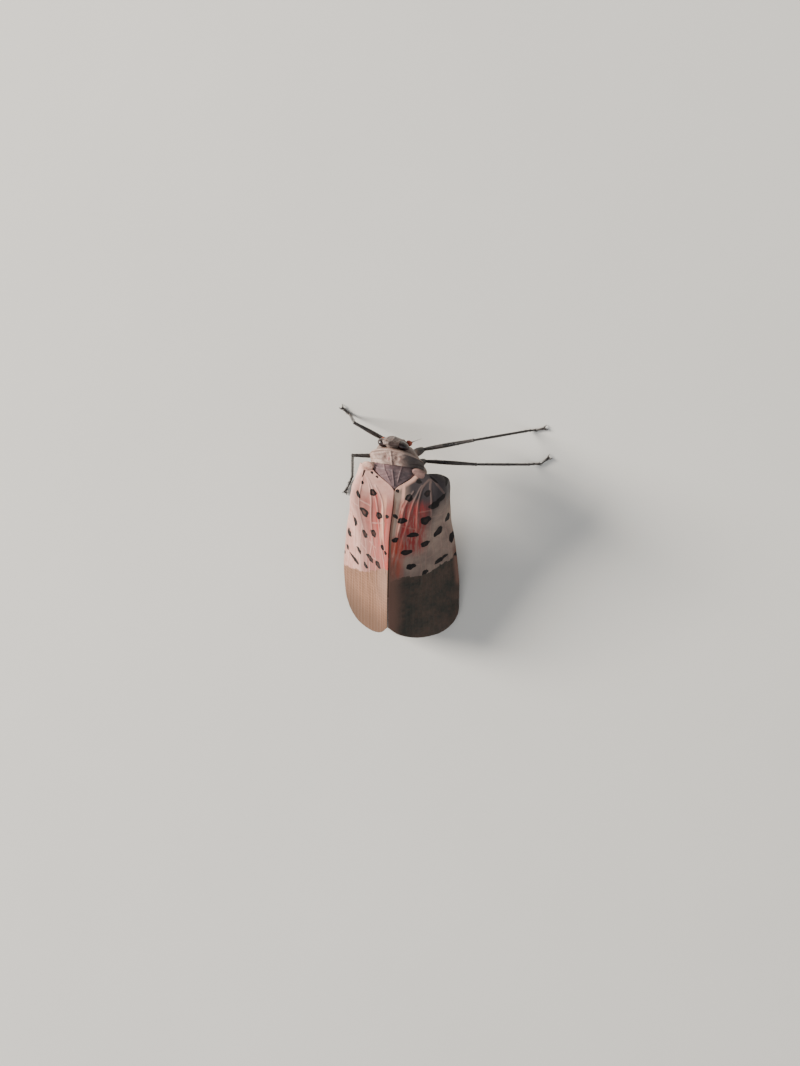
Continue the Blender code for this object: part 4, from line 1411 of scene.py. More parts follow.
@dataclass
class Forewing(Wing):
    """A forewing, with main veins, cross veins, spots and the net of its outer third."""

    veins: Veins = field(default_factory=Veins)
    rim_dark_and_painted_shadow: dict[Side, float] = field(default_factory=lambda: {Side.LEFT: 0.2, Side.RIGHT: 1.0})
    net_from: dict[Side, Curve] = field(
        default_factory=lambda: {
            Side.LEFT: Curve(
                (
                    (0.2, 15.3), (0.6, 15.4), (2.1, 16.2), (3.9, 17.2), (5.4, 17.9), (7.1, 18.4),
                    (8.7, 18.9),
                )
            ),
            Side.RIGHT: Curve(
                ((0.2, 16.9), (1, 16.6), (2.8, 16.5), (4.6, 16.4), (6.5, 15.8), (8.2, 15.4))
            ),
        }
    )

    def relief(self, s: Points, w: Points) -> Points:
        """Main veins stand highest, cross veins less, with a faint swell between them.

        Args:
            s: Distances behind the tip of the head.
            w: Distances from the ridge.

        Returns:
            The heights.
        """
        rise = 0.07 * bump_shape(from_lines(s, w, self.veins.main()), 0.16)
        rise = np.maximum(rise, 0.03 * bump_shape(from_lines(s, w, self.veins.cross()), 0.14))
        rise *= fade(s, 3.4, 6.0) * (0.3 + 0.7 * fade(s, 19.0, 16.0))
        swell = 0.015 * np.sin(self.veins.share(s, w) * 62)
        return rise + swell * fade(s, 17.0, 15.0) * fade(s, 6.0, 9.0)

    def paint(self, mesh: Mesh, s: Points, w: Points) -> None:
        """Stores spots, tip, tints, veins and edge, and the chart that the net follows.

        Args:
            mesh: The wing's mesh.
            s: Distances behind the tip of the head.
            w: Distances from the ridge.
        """
        spot, heart = np.zeros_like(s), np.zeros_like(s)
        for each in FORE_SPOTS[self.side]:
            reach = each.reach(s, w)
            spot = np.maximum(spot, 1 - reach / 2)
            heart = np.maximum(heart, each.heart * (reach < 1.3))
        tip = 0.5 + (s - self.net_from[self.side](w)) / 2
        vein = 1 - from_lines(s, w, self.veins.main() + self.veins.cross()) / 0.2
        tints = self.sunny(s, w) if self.side is Side.LEFT else self.shaded(s, w)
        # A dark outer rim, five times stronger on the right wing, where it is a painted shadow
        # along the edge.
        rim = fade(self.costal_gap(s, w), 0.8, 0.2) * fade(s, 9.0, 13.0) * self.rim_dark_and_painted_shadow[self.side]
        rim *= 0.2 + 0.8 * fade(np.abs(s - 16.5), 3.0, 2.0)
        blush = fade(s, 23.0, 16.0) * fade(w, 4.0, 0.0)
        write_masks(mesh, "pattern", (spot, tip, tints.painted_shade_and_deep_pink))
        write_masks(mesh, "tint", (tints.pink_and_painted_glow, tints.cream, vein))
        write_masks(mesh, "accent", (tints.painted_red_glow, heart, np.maximum(tints.tip_edge, rim)))
        write_masks(mesh, "border", (tints.line, blush))
        write_chart(mesh, "chart", s / WING_END, self.veins.share(s, w))

    def sunny(self, s: Points, w: Points) -> Tints:
        """Tints of the left wing, painted as sunlit: pale pink with deeper streaks along its inner
        part, partly painted light shining through, and a painted shadow line along the ridge.

        Args:
            s: Distances behind the tip of the head.
            w: Distances from the ridge.

        Returns:
            The tints.
        """
        streaks = [
            [(6.2, 2.1), (9.4, 1.9)], [(9.8, 1.75), (12.6, 1.5)],
            [(9.0, 0.75), (12.0, 0.6), (16.0, 0.4)],
        ]
        pink_and_painted_glow = 0.5 * fade(s, 5.2, 7.8) * fade(w, 4.4, 2.4) * fade(s, 17.4, 14.0)
        strip = fade(np.abs(w - 1.1), 0.4, 0.2) * fade(s, 12.5, 11.0) * fade(s, 5.6, 7.0)
        # Black line at the inner edge: painted shadow of the gap between the wings.
        line = fade(w, 0.16, 0.08) * fade(s, 5.4, 6.4)
        return Tints(
            pink_and_painted_glow=np.maximum(pink_and_painted_glow, 0.95 * bump_shape(from_lines(s, w, streaks), 0.6)),
            painted_red_glow=0.4 * fade(w, 0.5, 0.2) * fade(s, 9.5, 12.0) * fade(s, 16.8, 15.0),
            cream=0.9 * strip,
            tip_edge=0.8 * fade(s, 20.0, 24.2) + 0.2 * fade(w, 4.0, 8.5) * fade(s, 17.0, 22.0),
            line=line * (0.5 + 0.5 * fade(s, 14.0, 16.5)),
            # On this wing the deep tone deepens the pink of the inner part.
            painted_shade_and_deep_pink=0.7 * fade(s, 5.0, 8.0) * fade(w, 6.6, 4.2),
        )

    def shaded(self, s: Points, w: Points) -> Tints:
        """Tints of the right wing: painted shade at its base, inner part and rear, red in the
        middle and along the inside with painted light shining through, and a painted shadow line
        along the ridge.

        Args:
            s: Distances behind the tip of the head.
            w: Distances from the ridge.

        Returns:
            The tints.
        """
        # The red glow over the middle and along the inside is painted light shining through from
        # the red hindwing.
        pink_and_painted_glow = fade(s, 5.8, 7.4) * fade(w, 4.6, 2.8) * fade(s, 14.2, 12.4) * fade(w, 0.5, 0.9)
        strip = fade(np.abs(w - 1.05 + 0.06 * (s - 4.8)), 0.22, 0.1) * fade(s, 12.0, 9.8)
        seam = from_lines(s, w, [list(FORE_MARGINS["inner"].points[:4])])
        # Darkening over the inner part towards the tip, along the ridge, at the base and towards
        # the rear: painted shade.
        inner = 0.8 * fade(w, 1.8, 0.5) * fade(s, 13.6, 15.0)
        base = fade(s, 9.0, 5.0) * fade(w, 0.9, 2.0)
        base += 0.6 * fade(w, 2.2, 3.4) * fade(w, 5.4, 4.0) * fade(s, 11.5, 8.5)
        return Tints(
            pink_and_painted_glow=pink_and_painted_glow,
            painted_red_glow=0.9 * fade(w, 1.9, 0.9) * fade(s, 10.6, 12.2) * fade(s, 17.6, 15.6),
            cream=np.maximum(strip, 0.9 * fade(seam, 0.55, 0.15)),
            tip_edge=np.maximum(inner, fade(w, 0.36, 0.2) * fade(s, 5.6, 7.4)),
            line=fade(w, 0.1, 0.05) * fade(s, 5.4, 6.4),
            painted_shade_and_deep_pink=np.maximum(base, 0.33 * fade(s, 12.5, 16.0)),
        )

    def costal_gap(self, s: Points, w: Points) -> Points:
        """Distance from the outer margin, across the wing."""
        edge = Curve(tuple(sorted(self.costal.points)))
        return np.where(s < 21, edge(s) - w, 1.0)


@dataclass
class Hindwing(Wing):
    """A hindwing, pleated like a fan, folded below the forewing."""

    rows: int = 90
    columns: int = 60
    hinge: tuple[float, float] = (3.0, 1.2)
    pleat: float = 0.05
    pleats: float = 46.0

    def relief(self, s: Points, w: Points) -> Points:
        """Pleats that fan out from the wing's hinge."""
        fan = np.arctan2(w - self.hinge[1], s - self.hinge[0])
        return self.pleat * np.cos(fan * self.pleats)

    def paint(self, mesh: Mesh, s: Points, w: Points) -> None:
        """Black spots on red, a pale band, and the dark end.

        Args:
            mesh: The wing's mesh.
            s: Distances behind the tip of the head.
            w: Distances from the ridge.
        """
        spot = np.zeros_like(s)
        for each in HIND_SPOTS:
            spot = np.maximum(spot, fade(each.reach(s, w), 1.1, 0.9))
        edge = 15.2 + 0.5 * np.sin(w * 1.7)
        wave = 0.4 * np.sin(w * 2)
        band = fade(s, 13.9 + wave, 14.3 + wave)
        write_masks(mesh, "pattern", (spot, fade(s, edge, edge + 0.3), band))


FORE_MARGINS = {
    "inner": Margin(
        (
            (3.45, 2.25), (3.75, 1.98), (4.4, 1.06), (5.0, 0.28), (5.5, 0.03), (7, 0.03),
            (12, 0.03), (18, 0.03), (23, 0.03),
        )
    ),
    "apex": Margin(
        (
            (23, 0.03), (24.2, 1.2), (25, 3), (25.2, 4.8), (25, 6.4), (24.2, 7.7), (22.8, 8.55),
            (21, 8.85),
        )
    ),
    "costal": Margin(
        (
            (3.05, 3.75), (3.2, 4.6), (3.95, 5.8), (5.2, 6.9), (7, 7.5), (10, 7.9), (13, 8.4),
            (16, 8.8), (19, 9), (21, 8.85),
        )
    ),
    "base": Margin(((3.45, 2.25), (3.3, 2.6), (3.2, 3.0), (3.08, 3.35), (3.05, 3.75))),
}
HIND_MARGINS = {
    "inner": Margin(((5.8, 0.2), (10, 0.2), (15, 0.2), (18.6, 0.25))),
    "apex": Margin(((18.6, 0.25), (20, 1.6), (20.4, 3.2), (20, 4.8), (18.4, 6))),
    "costal": Margin(((6, 3.2), (8, 4.8), (11, 6), (15, 6.4), (18.4, 6))),
    "base": Margin(((5.8, 0.2), (5.7, 1.8), (6, 3.2))),
}
HIND_DEPTH = 1.0


# Plates of the back


@dataclass
class BackPlates:
    """The collar behind the head, the shield between the wings, and the scales at the hinges."""

    stance: Stance
    collar_front: float = 0.92
    collar_sweep: float = 1.9
    collar_rear: float = 2.45
    collar_half: float = 4.1
    collar_crest: float = 1.75
    collar_rise: float = 0.42
    collar_thick: float = 0.4
    collar_steps: int = 20
    collar_bend: float = 86.0
    dimple_aside: float = 0.62
    dimple_s: float = 1.75
    shield_front: float = 2.45
    shield_tip: float = SHIELD_TIP
    shield_top: float = 2.72
    shield_thick: float = 0.45
    side_keel: float = 1.05
    side_keel_lean: float = 0.34
    hinge_middle: Triple = (2.86, 3.1, 2.25)
    hinge_half: Triple = (0.74, 0.56, 0.25)
    hinge_under: float = 0.55
    shield_half: Curve = Curve(
        (
            (2.45, 2.1), (2.8, 2.16), (3.2, 2.2), (3.5, 2.18), (3.75, 1.9), (4.4, 0.98),
            (5.0, 0.18), (5.1, 0.03),
        )
    )

    def build(self) -> None:
        """Builds all the plates."""
        self.collar()
        self.shield()
        for side in Side:
            self.hinge(side)

    def collar(self) -> Piece:
        """The collar: arched over the neck, with a middle keel, a raised rim and two dimples.

        Returns:
            The finished piece.
        """
        mesh = shell("pronotum", 44, 160)
        along, across, level = read_square(mesh)
        q = (across * 2 - 1) * self.collar_half
        share = np.abs(q) / self.collar_half
        front = self.collar_front + self.collar_sweep * share**1.9
        rear = self.collar_rear + 0.12 * share + 0.95 * share**2.4
        s = front + (rear - front) * along
        dimple = np.hypot(np.abs(q) - self.dimple_aside, (s - self.dimple_s) * 1.1)
        rise = 0.1 * bump_shape(q, 0.16) * fade(along, 0.04, 0.2)
        rise += 0.07 * bump_shape(along - 0.07, 0.08)
        rise -= 0.13 * bump_shape(dimple, 0.4)
        rise -= 0.05 * bump_shape(along - 0.78 + 0.1 * share, 0.1) * fade(share, 0.08, 0.2)
        wrinkle = 0.03 * np.sin(q * 5.1 + 3 * np.sin(s * 4)) * np.sin(s * 7 + q)
        rise += wrinkle * fade(along, 0.0, 0.2)
        depth = np.where(level > 0.5, self.collar_thick, -rise)
        points = self.collar_point(s, q, depth)
        write_points(mesh, self.stance.place(points))
        stain = fade(np.abs(q), 1.5, 0.5) * fade(along, 0.1, 0.3)
        # Right side darker: painted shade.
        shade = fade(q, 0.6, 2.0) * 0.9
        write_masks(mesh, "pattern", (stain, shade, bump_shape(along - 0.05, 0.1)))
        return finish_piece(mesh, COLLAR, ["pronotum"])

    def collar_point(self, s: Points, q: Points, depth: Points) -> Points:
        """Body-frame points on the collar, q along its arch from the middle.

        Args:
            s: Distances behind the tip of the head.
            q: Distances from the middle, to the right.
            depth: Depths below its surface.

        Returns:
            The points, one a row.
        """
        steps = self.collar_steps
        x, drop, slope = (np.zeros_like(s) for _ in range(3))
        for i in range(steps + 1):
            way = np.abs(q) * i / steps / self.collar_half
            slope = math.radians(self.collar_bend) * way**1.3
            share = np.abs(q) / steps * (0.5 if i in (0, steps) else 1.0)
            x += np.cos(slope) * share
            drop += np.sin(slope) * share
        crest = self.collar_crest + self.collar_rise * (s - self.collar_front)
        x -= depth * np.sin(slope)
        return np.stack([np.sign(q) * x, HEAD_TIP - s, crest - drop - depth * np.cos(slope)], 1)

    def shield(self) -> Piece:
        """The shield: a diamond with three keels that lean together towards its tip.

        Returns:
            The finished piece.
        """
        mesh = shell("mesonotum", 80, 90)
        along, across, level = read_square(mesh)
        s = self.shield_front + (self.shield_tip - self.shield_front) * along
        half = self.shield_half(s)
        x = (across * 2 - 1) * half
        bow = 0.1 * (1 - along) * (x / 2.0) ** 2
        crest = self.shield_top - 0.09 * x * x - 0.02 * (s - 4.2) ** 2 - 0.55 * fade(s, 3.05, 2.45)
        side_keel = self.side_keel - self.side_keel_lean * (s - self.shield_front)
        rise = 0.09 * bump_shape(x, 0.13) * fade(along, 0.92, 0.8) * fade(along, 0.1, 0.25)
        side_rise = 0.07 * bump_shape(np.abs(x) - side_keel, 0.12) * fade(along, 0.8, 0.6)
        rise = np.maximum(rise, side_rise)
        rise += 0.02 * np.sin(x * 7 + 2 * np.sin(s * 5)) * np.sin(s * 9)
        edge = fade(np.abs(across * 2 - 1), 0.8, 1.0)
        rise -= 0.12 * edge * edge
        depth = np.where(level > 0.5, self.shield_thick, -rise)
        points = np.stack([x, HEAD_TIP - s - bow, crest - depth], 1)
        write_points(mesh, self.stance.place(points))
        stain = fade(np.abs(x), 1.5, 2.0)
        # Right half darker: painted shade; the middle a little darker as well.
        shade = fade(x, -0.6, 1.2) * 0.8 + 0.3 * fade(np.abs(x), 0.5, 0.2)
        write_masks(mesh, "pattern", (stain, shade, rise * 6))
        return finish_piece(mesh, SHIELD, ["mesonotum"])

    def hinge(self, side: Side) -> Piece:
        """The domed scale over a wing's hinge.

        Args:
            side: The side that it is on.

        Returns:
            The finished piece.
        """
        bm = bmesh.new()
        bmesh.ops.create_uvsphere(bm, u_segments=40, v_segments=24, radius=1.0)
        mesh = mesh_of(f"tegula_{side.label}", bm)
        out, ahead, up = read_points(mesh).T
        middle, half = self.hinge_middle, self.hinge_half
        lift = np.where(up > 0, 1.0, self.hinge_under)
        x = middle[0] + out * half[0] - 0.08 * ahead
        s = middle[1] - ahead * (half[1] + 0.06 * out) + 0.14 * out
        z = middle[2] + up * half[2] * lift - 0.16 * (x - middle[0])
        z += 0.03 * bump_shape(np.hypot(out, ahead) - 0.84, 0.12)
        write_points(mesh, self.stance.place(np.stack([side.value * x, HEAD_TIP - s, z], 1)))
        blank = np.zeros(len(x))
        write_masks(mesh, "pattern", (blank + 0.6, blank, blank))
        # The right scale takes the darker copy: painted shade.
        finish = HINGE if side is Side.LEFT else HINGE_PAINTED_SHADE
        return finish_piece(mesh, finish, [f"tegula_{side.label}"])


# Legs


@dataclass(frozen=True)
class LegPlan:
    """A leg's joints: where it leaves the body, then knee, ankle and toes on the floor's axes."""

    name: str
    hip_s: float
    hip_x: float
    knee: Triple
    ankle: Triple
    toes: tuple[Triple, Triple]


LEG_PLANS = (
    LegPlan(
        "front_right", 3.0, 1.3, (7.0, 4.5, 4.9), (11.9, 5.1, 0.62),
        ((13, 5.3, 0.23), (13.8, 5.6, 0.3)),
    ),
    LegPlan(
        "middle_right", 4.4, 1.3, (7.5, 1.8, 4.7), (12.6, 1.4, 0.62),
        ((13.8, 1.55, 0.23), (14.6, 2.3, 0.3)),
    ),
    LegPlan(
        "hind_right", 6, 1.3, (4, -4.9, 3.9), (5, -11.6, 0.62),
        ((5.1, -12.9, 0.23), (5.2, -14.1, 0.3)),
    ),
    LegPlan(
        "front_left", 2.6, -1.25, (-5.9, 5.0, 6.5), (-7.7, 4, 0.62),
        ((-8.2, 4.2, 0.23), (-8.75, 4.6, 0.3)),
    ),
    LegPlan(
        "middle_left", 4.4, -1.3, (-6, 1.1, 5.7), (-7, -2.9, 0.62),
        ((-7.35, -3.8, 0.23), (-7.7, -4.8, 0.3)),
    ),
    LegPlan(
        "hind_left", 6, -1.3, (-4, -4.9, 3.9), (-5, -11.6, 0.62),
        ((-5.1, -12.9, 0.23), (-5.2, -14.1, 0.3)),
    ),
)


@dataclass(frozen=True)
class Section:
    """A stretch of the body: its two ends, and its half width, top and bottom along it."""

    start: float
    end: float
    width: Curve
    top: Curve
    bottom: Curve


@dataclass
class Trunk:
    """Sections of thorax, nape, wing roots, abdomen and head, which the skin follows."""

    thorax: Section = Section(
        start=0.9,
        end=9.0,
        width=Curve(((1.2, 1.5), (2.2, 2.2), (3.5, 2.4), (5.5, 2.4), (7.6, 2.2))),
        top=Curve(((1.2, 0.5), (2.5, 1.25), (3.5, 1.55), (4.8, 1.5), (5.6, 0.9), (7.6, 0.8))),
        bottom=Curve(((1.2, -1.6), (2.5, -2.1), (5.5, -2.25), (7.6, -2.1))),
    )
    nape_of_neck: Section = Section(
        start=0.7, end=5.8,
        width=Curve(
            ((0.7, 1.65), (1.4, 2.2), (2.3, 2.5), (3.1, 2.8), (3.9, 3.25), (5.0, 3.1), (5.8, 2.4))
        ),
        top=Curve(((0.7, 1.1), (1.4, 1.45), (2.4, 1.85), (3.4, 2.02), (4.6, 1.95), (5.8, 1.8))),
        bottom=Curve(((0.7, -0.6), (2.4, -1.2), (4.6, -0.9), (5.8, -0.6))),
    )
    wing_root: Section = Section(
        start=3.0,
        end=5.8,
        width=Curve(((3.0, 0.7), (3.8, 0.85), (5.8, 0.85))),
        top=Curve(((3.0, 1.95), (3.8, 2.1), (5.8, 2.1))),
        bottom=Curve(((3.0, 0.7), (5.8, 0.7))),
    )
    abdomen: Section = Section(
        start=6.2,
        end=16.6,
        width=Curve(((7.9, 2.15), (10, 2.35), (12.5, 2.2), (15, 1.6), (16.6, 0.9))),
        top=Curve(((7.9, 0.75), (10, 0.6), (12, 0.4), (14, 0.1), (16.6, -0.55))),
        bottom=Curve(((7.9, -2.1), (10, -2.3), (13, -2.2), (16.6, -1.5))),
    )
    root_aside: float = 2.35
    head_top: float = 1.78
    head_height: float = 4.38
    face: Curve = Curve(
        (
            (-2.6, 1.85), (-2.1, 1.5), (-1.6, 1.18), (-1, 0.82), (-0.4, 0.5), (0.2, 0.25),
            (0.7, 0.12), (1.2, 0.05), (1.55, 0.08), (1.78, 0.2),
        )
    )
    nape: Curve = Curve(((-2.6, 2.3), (-1.6, 2.5), (0, 2.0), (1.2, 1.2), (1.78, 0.7)))
    head_width: Curve = Curve(((-2.6, 0.36), (-2, 0.55), (-1.5, 0.82), (-0.9, 1.1), (-0.2, 1.22),
                               (0.5, 1.16), (1.1, 0.95), (1.5, 0.66), (1.78, 0.4)))

    def hip(self, plan: LegPlan) -> tuple[Vector, Vector]:
        """Where a leg leaves the thorax, and the direction in which it does, in the body frame.

        Args:
            plan: The leg's plan.

        Returns:
            The point and the direction.
        """
        sign = math.copysign(1, plan.hip_x)
        width = float(self.thorax.width(plan.hip_s))
        low = float(self.thorax.bottom(plan.hip_s))
        middle = (float(self.thorax.top(plan.hip_s)) + low) / 2
        across = abs(plan.hip_x) / width
        lift = math.sqrt(1 - across * across)
        way = Vector((across / width, 0, -lift / (middle - low))).normalized()
        way.x *= sign
        return Vector((plan.hip_x, HEAD_TIP - plan.hip_s, middle - (middle - low) * lift)), way


@dataclass
class Leg:
    """One leg from its hip's ring to its claws, with ridges, spines and fine hairs."""

    plan: LegPlan
    stance: Stance
    trunk: Trunk
    femur_radius: float = 0.21
    tibia_radius: float = 0.15
    foot_radius: float = 0.15
    hip_reach: float = 1.45
    ankle_height: float = 0.5
    knee_radius: float = 0.2
    ankle_radius: float = 0.17
    claw_radii: tuple[float, ...] = (0.085, 0.075, 0.06, 0.04, 0.012)
    pad_radius: float = 0.11
    spine_shares: tuple[float, ...] = (0.24, 0.4, 0.56, 0.71, 0.85)
    spine_length: float = 0.72
    crown_spines: int = 8
    crown_length: float = 0.55
    hairs: int = 55
    hair_radius: float = 0.016

    def joints(self) -> list[Vector]:
        """Trochanter, knee, ankle and toes as they stand.

        Returns:
            The five points, from the body to the toes.
        """
        root, way = self.trunk.hip(self.plan)
        end = root + way * self.hip_reach
        hip = self.stance.body_point(end.x, HEAD_TIP - end.y, end.z)
        knee, ankle = (self.stance.floor_point(*p) for p in (self.plan.knee, self.plan.ankle))
        sole = self.foot_radius + 0.02
        middle, tip = (self.stance.floor_point(x, y, sole + z * 0.1) for x, y, z in self.plan.toes)
        ankle.z = self.ankle_height
        return [hip, knee, ankle, middle, tip]

    def build(self) -> Piece:
        """Builds the leg as one piece that stands for its femur, tibia and foot.

        Returns:
            The finished piece.
        """
        hip, knee, ankle, middle, tip = self.joints()
        parts = [self.limb(hip, knee, self.femur_radius, 1.35, 0.85)]
        parts.append(self.limb(knee, ankle, self.tibia_radius, 1.08, 0.9))
        for joint, radius in ((knee, self.knee_radius), (ankle, self.ankle_radius)):
            parts.append(self.knob(joint, radius))
        parts.extend(self.foot(ankle, middle, tip))
        parts.extend(self.hair(hip, knee, self.femur_radius))
        parts.extend(self.hair(knee, ankle, self.tibia_radius))
        if self.plan.name.startswith("hind"):
            parts.extend(self.spines(knee, ankle))
        mesh = mesh_of(f"leg_{self.plan.name}", gather(parts))
        nodes = [f"{segment}_{self.plan.name}" for segment in ("femur", "tibia", "tarsus")]
        return finish_piece(mesh, LEG_BLACK, nodes)

    def limb(self, start: Vector, end: Vector, radius: float, belly: float, flat: float) -> Form:
        """A long segment with round ends and low ridges along it.

        Args:
            start: Where it starts.
            end: Where it ends.
            radius: Radius near its ends.
            belly: How much wider its middle is.
            flat: How thick it is, as a share of its width.

        Returns:
            The closed bmesh.
        """
        path, radii = rounded(start, end, radius, belly, 20)
        bm = sweep(path, radii, 16, flat)
        axis = (end - start).normalized()
        for vert in bm.verts:
            out = vert.co - start
            out -= axis * out.dot(axis)
            spin = math.atan2(out.cross(axis).z, out.z + 1e-6)
            vert.co += out * 0.07 * math.cos(5 * spin)
        return bm

    def knob(self, place: Vector, radius: float) -> Form:
        """The rounded hinge between two segments.

        Args:
            place: Its middle.
            radius: Its radius.

        Returns:
            The closed bmesh.
        """
        bm = bmesh.new()
        bmesh.ops.create_uvsphere(bm, u_segments=14, v_segments=10, radius=radius)
        bmesh.ops.translate(bm, vec=place, verts=bm.verts)
        return bm

    def foot(self, ankle: Vector, middle: Vector, tip: Vector) -> list[Form]:
        """Three foot joints, each flared at its end, a pad and two hooked claws.

        Args:
            ankle: Where the tibia ends.
            middle: Where the last joint starts.
            tip: Where it ends.

        Returns:
            The closed forms.
        """
        r = self.foot_radius
        stations = [ankle, ankle.lerp(middle, 0.55), middle, tip]
        stations[1].z = r + 0.06
        parts = []
        for start, end in zip(stations, stations[1:]):
            path = [start.lerp(end, t) for t in (0, 0.12, 0.5, 0.85, 1)]
            parts.append(sweep(path, (0.6 * r, 0.85 * r, 0.8 * r, 1.05 * r, 0.5 * r), 12))
        way = (tip - middle).normalized()
        across = way.cross(Vector((0, 0, 1))).normalized()
        for sign in (-1, 1):
            root = tip - way * 0.08 + across * sign * 0.04
            bend = tip + way * 0.2 + across * sign * 0.2 + Vector((0, 0, 0.05))
            end = tip + way * 0.42 + across * sign * 0.27
            end.z = 0.015
            path = [root, root.lerp(bend, 0.6), bend, bend.lerp(end, 0.55), end]
            parts.append(sweep(path, self.claw_radii, 8))
            thorn = stations[2] + across * sign * r * 0.8
            parts.append(cone(thorn - way * 0.1, thorn + way * 0.14 + across * sign * 0.1, 0.04))
        parts.append(self.knob(tip + way * 0.12 - Vector((0, 0, 0.02)), self.pad_radius))
        return parts

    def spines(self, start: Vector, end: Vector) -> list[Form]:
        """The row of stout spines on a hind tibia's outer side, and the crown at its end.

        Args:
            start: The knee.
            end: The ankle.

        Returns:
            The closed forms.
        """
        way = (end - start).normalized()
        outer = Vector((math.copysign(1, self.plan.hip_x), 0, 0))
        outer = (outer - way * outer.dot(way)).normalized()
        made = []
        for share in self.spine_shares:
            root = start.lerp(end, share)
            tip = root + (outer + way * 0.75).normalized() * self.spine_length
            made.append(cone(root, tip, 0.1, 8))
        root = end - way * 0.3
        for i in range(self.crown_spines):
            around = Matrix.Rotation(math.tau * i / self.crown_spines, 3, way) @ outer
            tip = root + (around * 0.62 + way).normalized() * self.crown_length
            made.append(cone(root, tip, 0.06))
        return made

    def hair(self, start: Vector, end: Vector, radius: float) -> list[Form]:
        """Short bristles that lean towards the foot.

        Args:
            start: Where it starts.
            end: Where it ends.
            radius: The segment's radius.

        Returns:
            The closed forms.
        """
        dice = np.random.default_rng(SEED + sum(map(ord, self.plan.name)))
        way = (end - start).normalized()
        side = way.orthogonal().normalized()
        made = []
        for _ in range(self.hairs):
            around = Matrix.Rotation(dice.uniform(0, math.tau), 3, way) @ side
            root = start.lerp(end, dice.uniform(0.08, 0.95)) + around * radius * 0.8
            tip = root + (around + way * 1.1).normalized() * dice.uniform(0.12, 0.2)
            made.append(cone(root, tip, self.hair_radius, 3, 0.3))
        return made


# Body


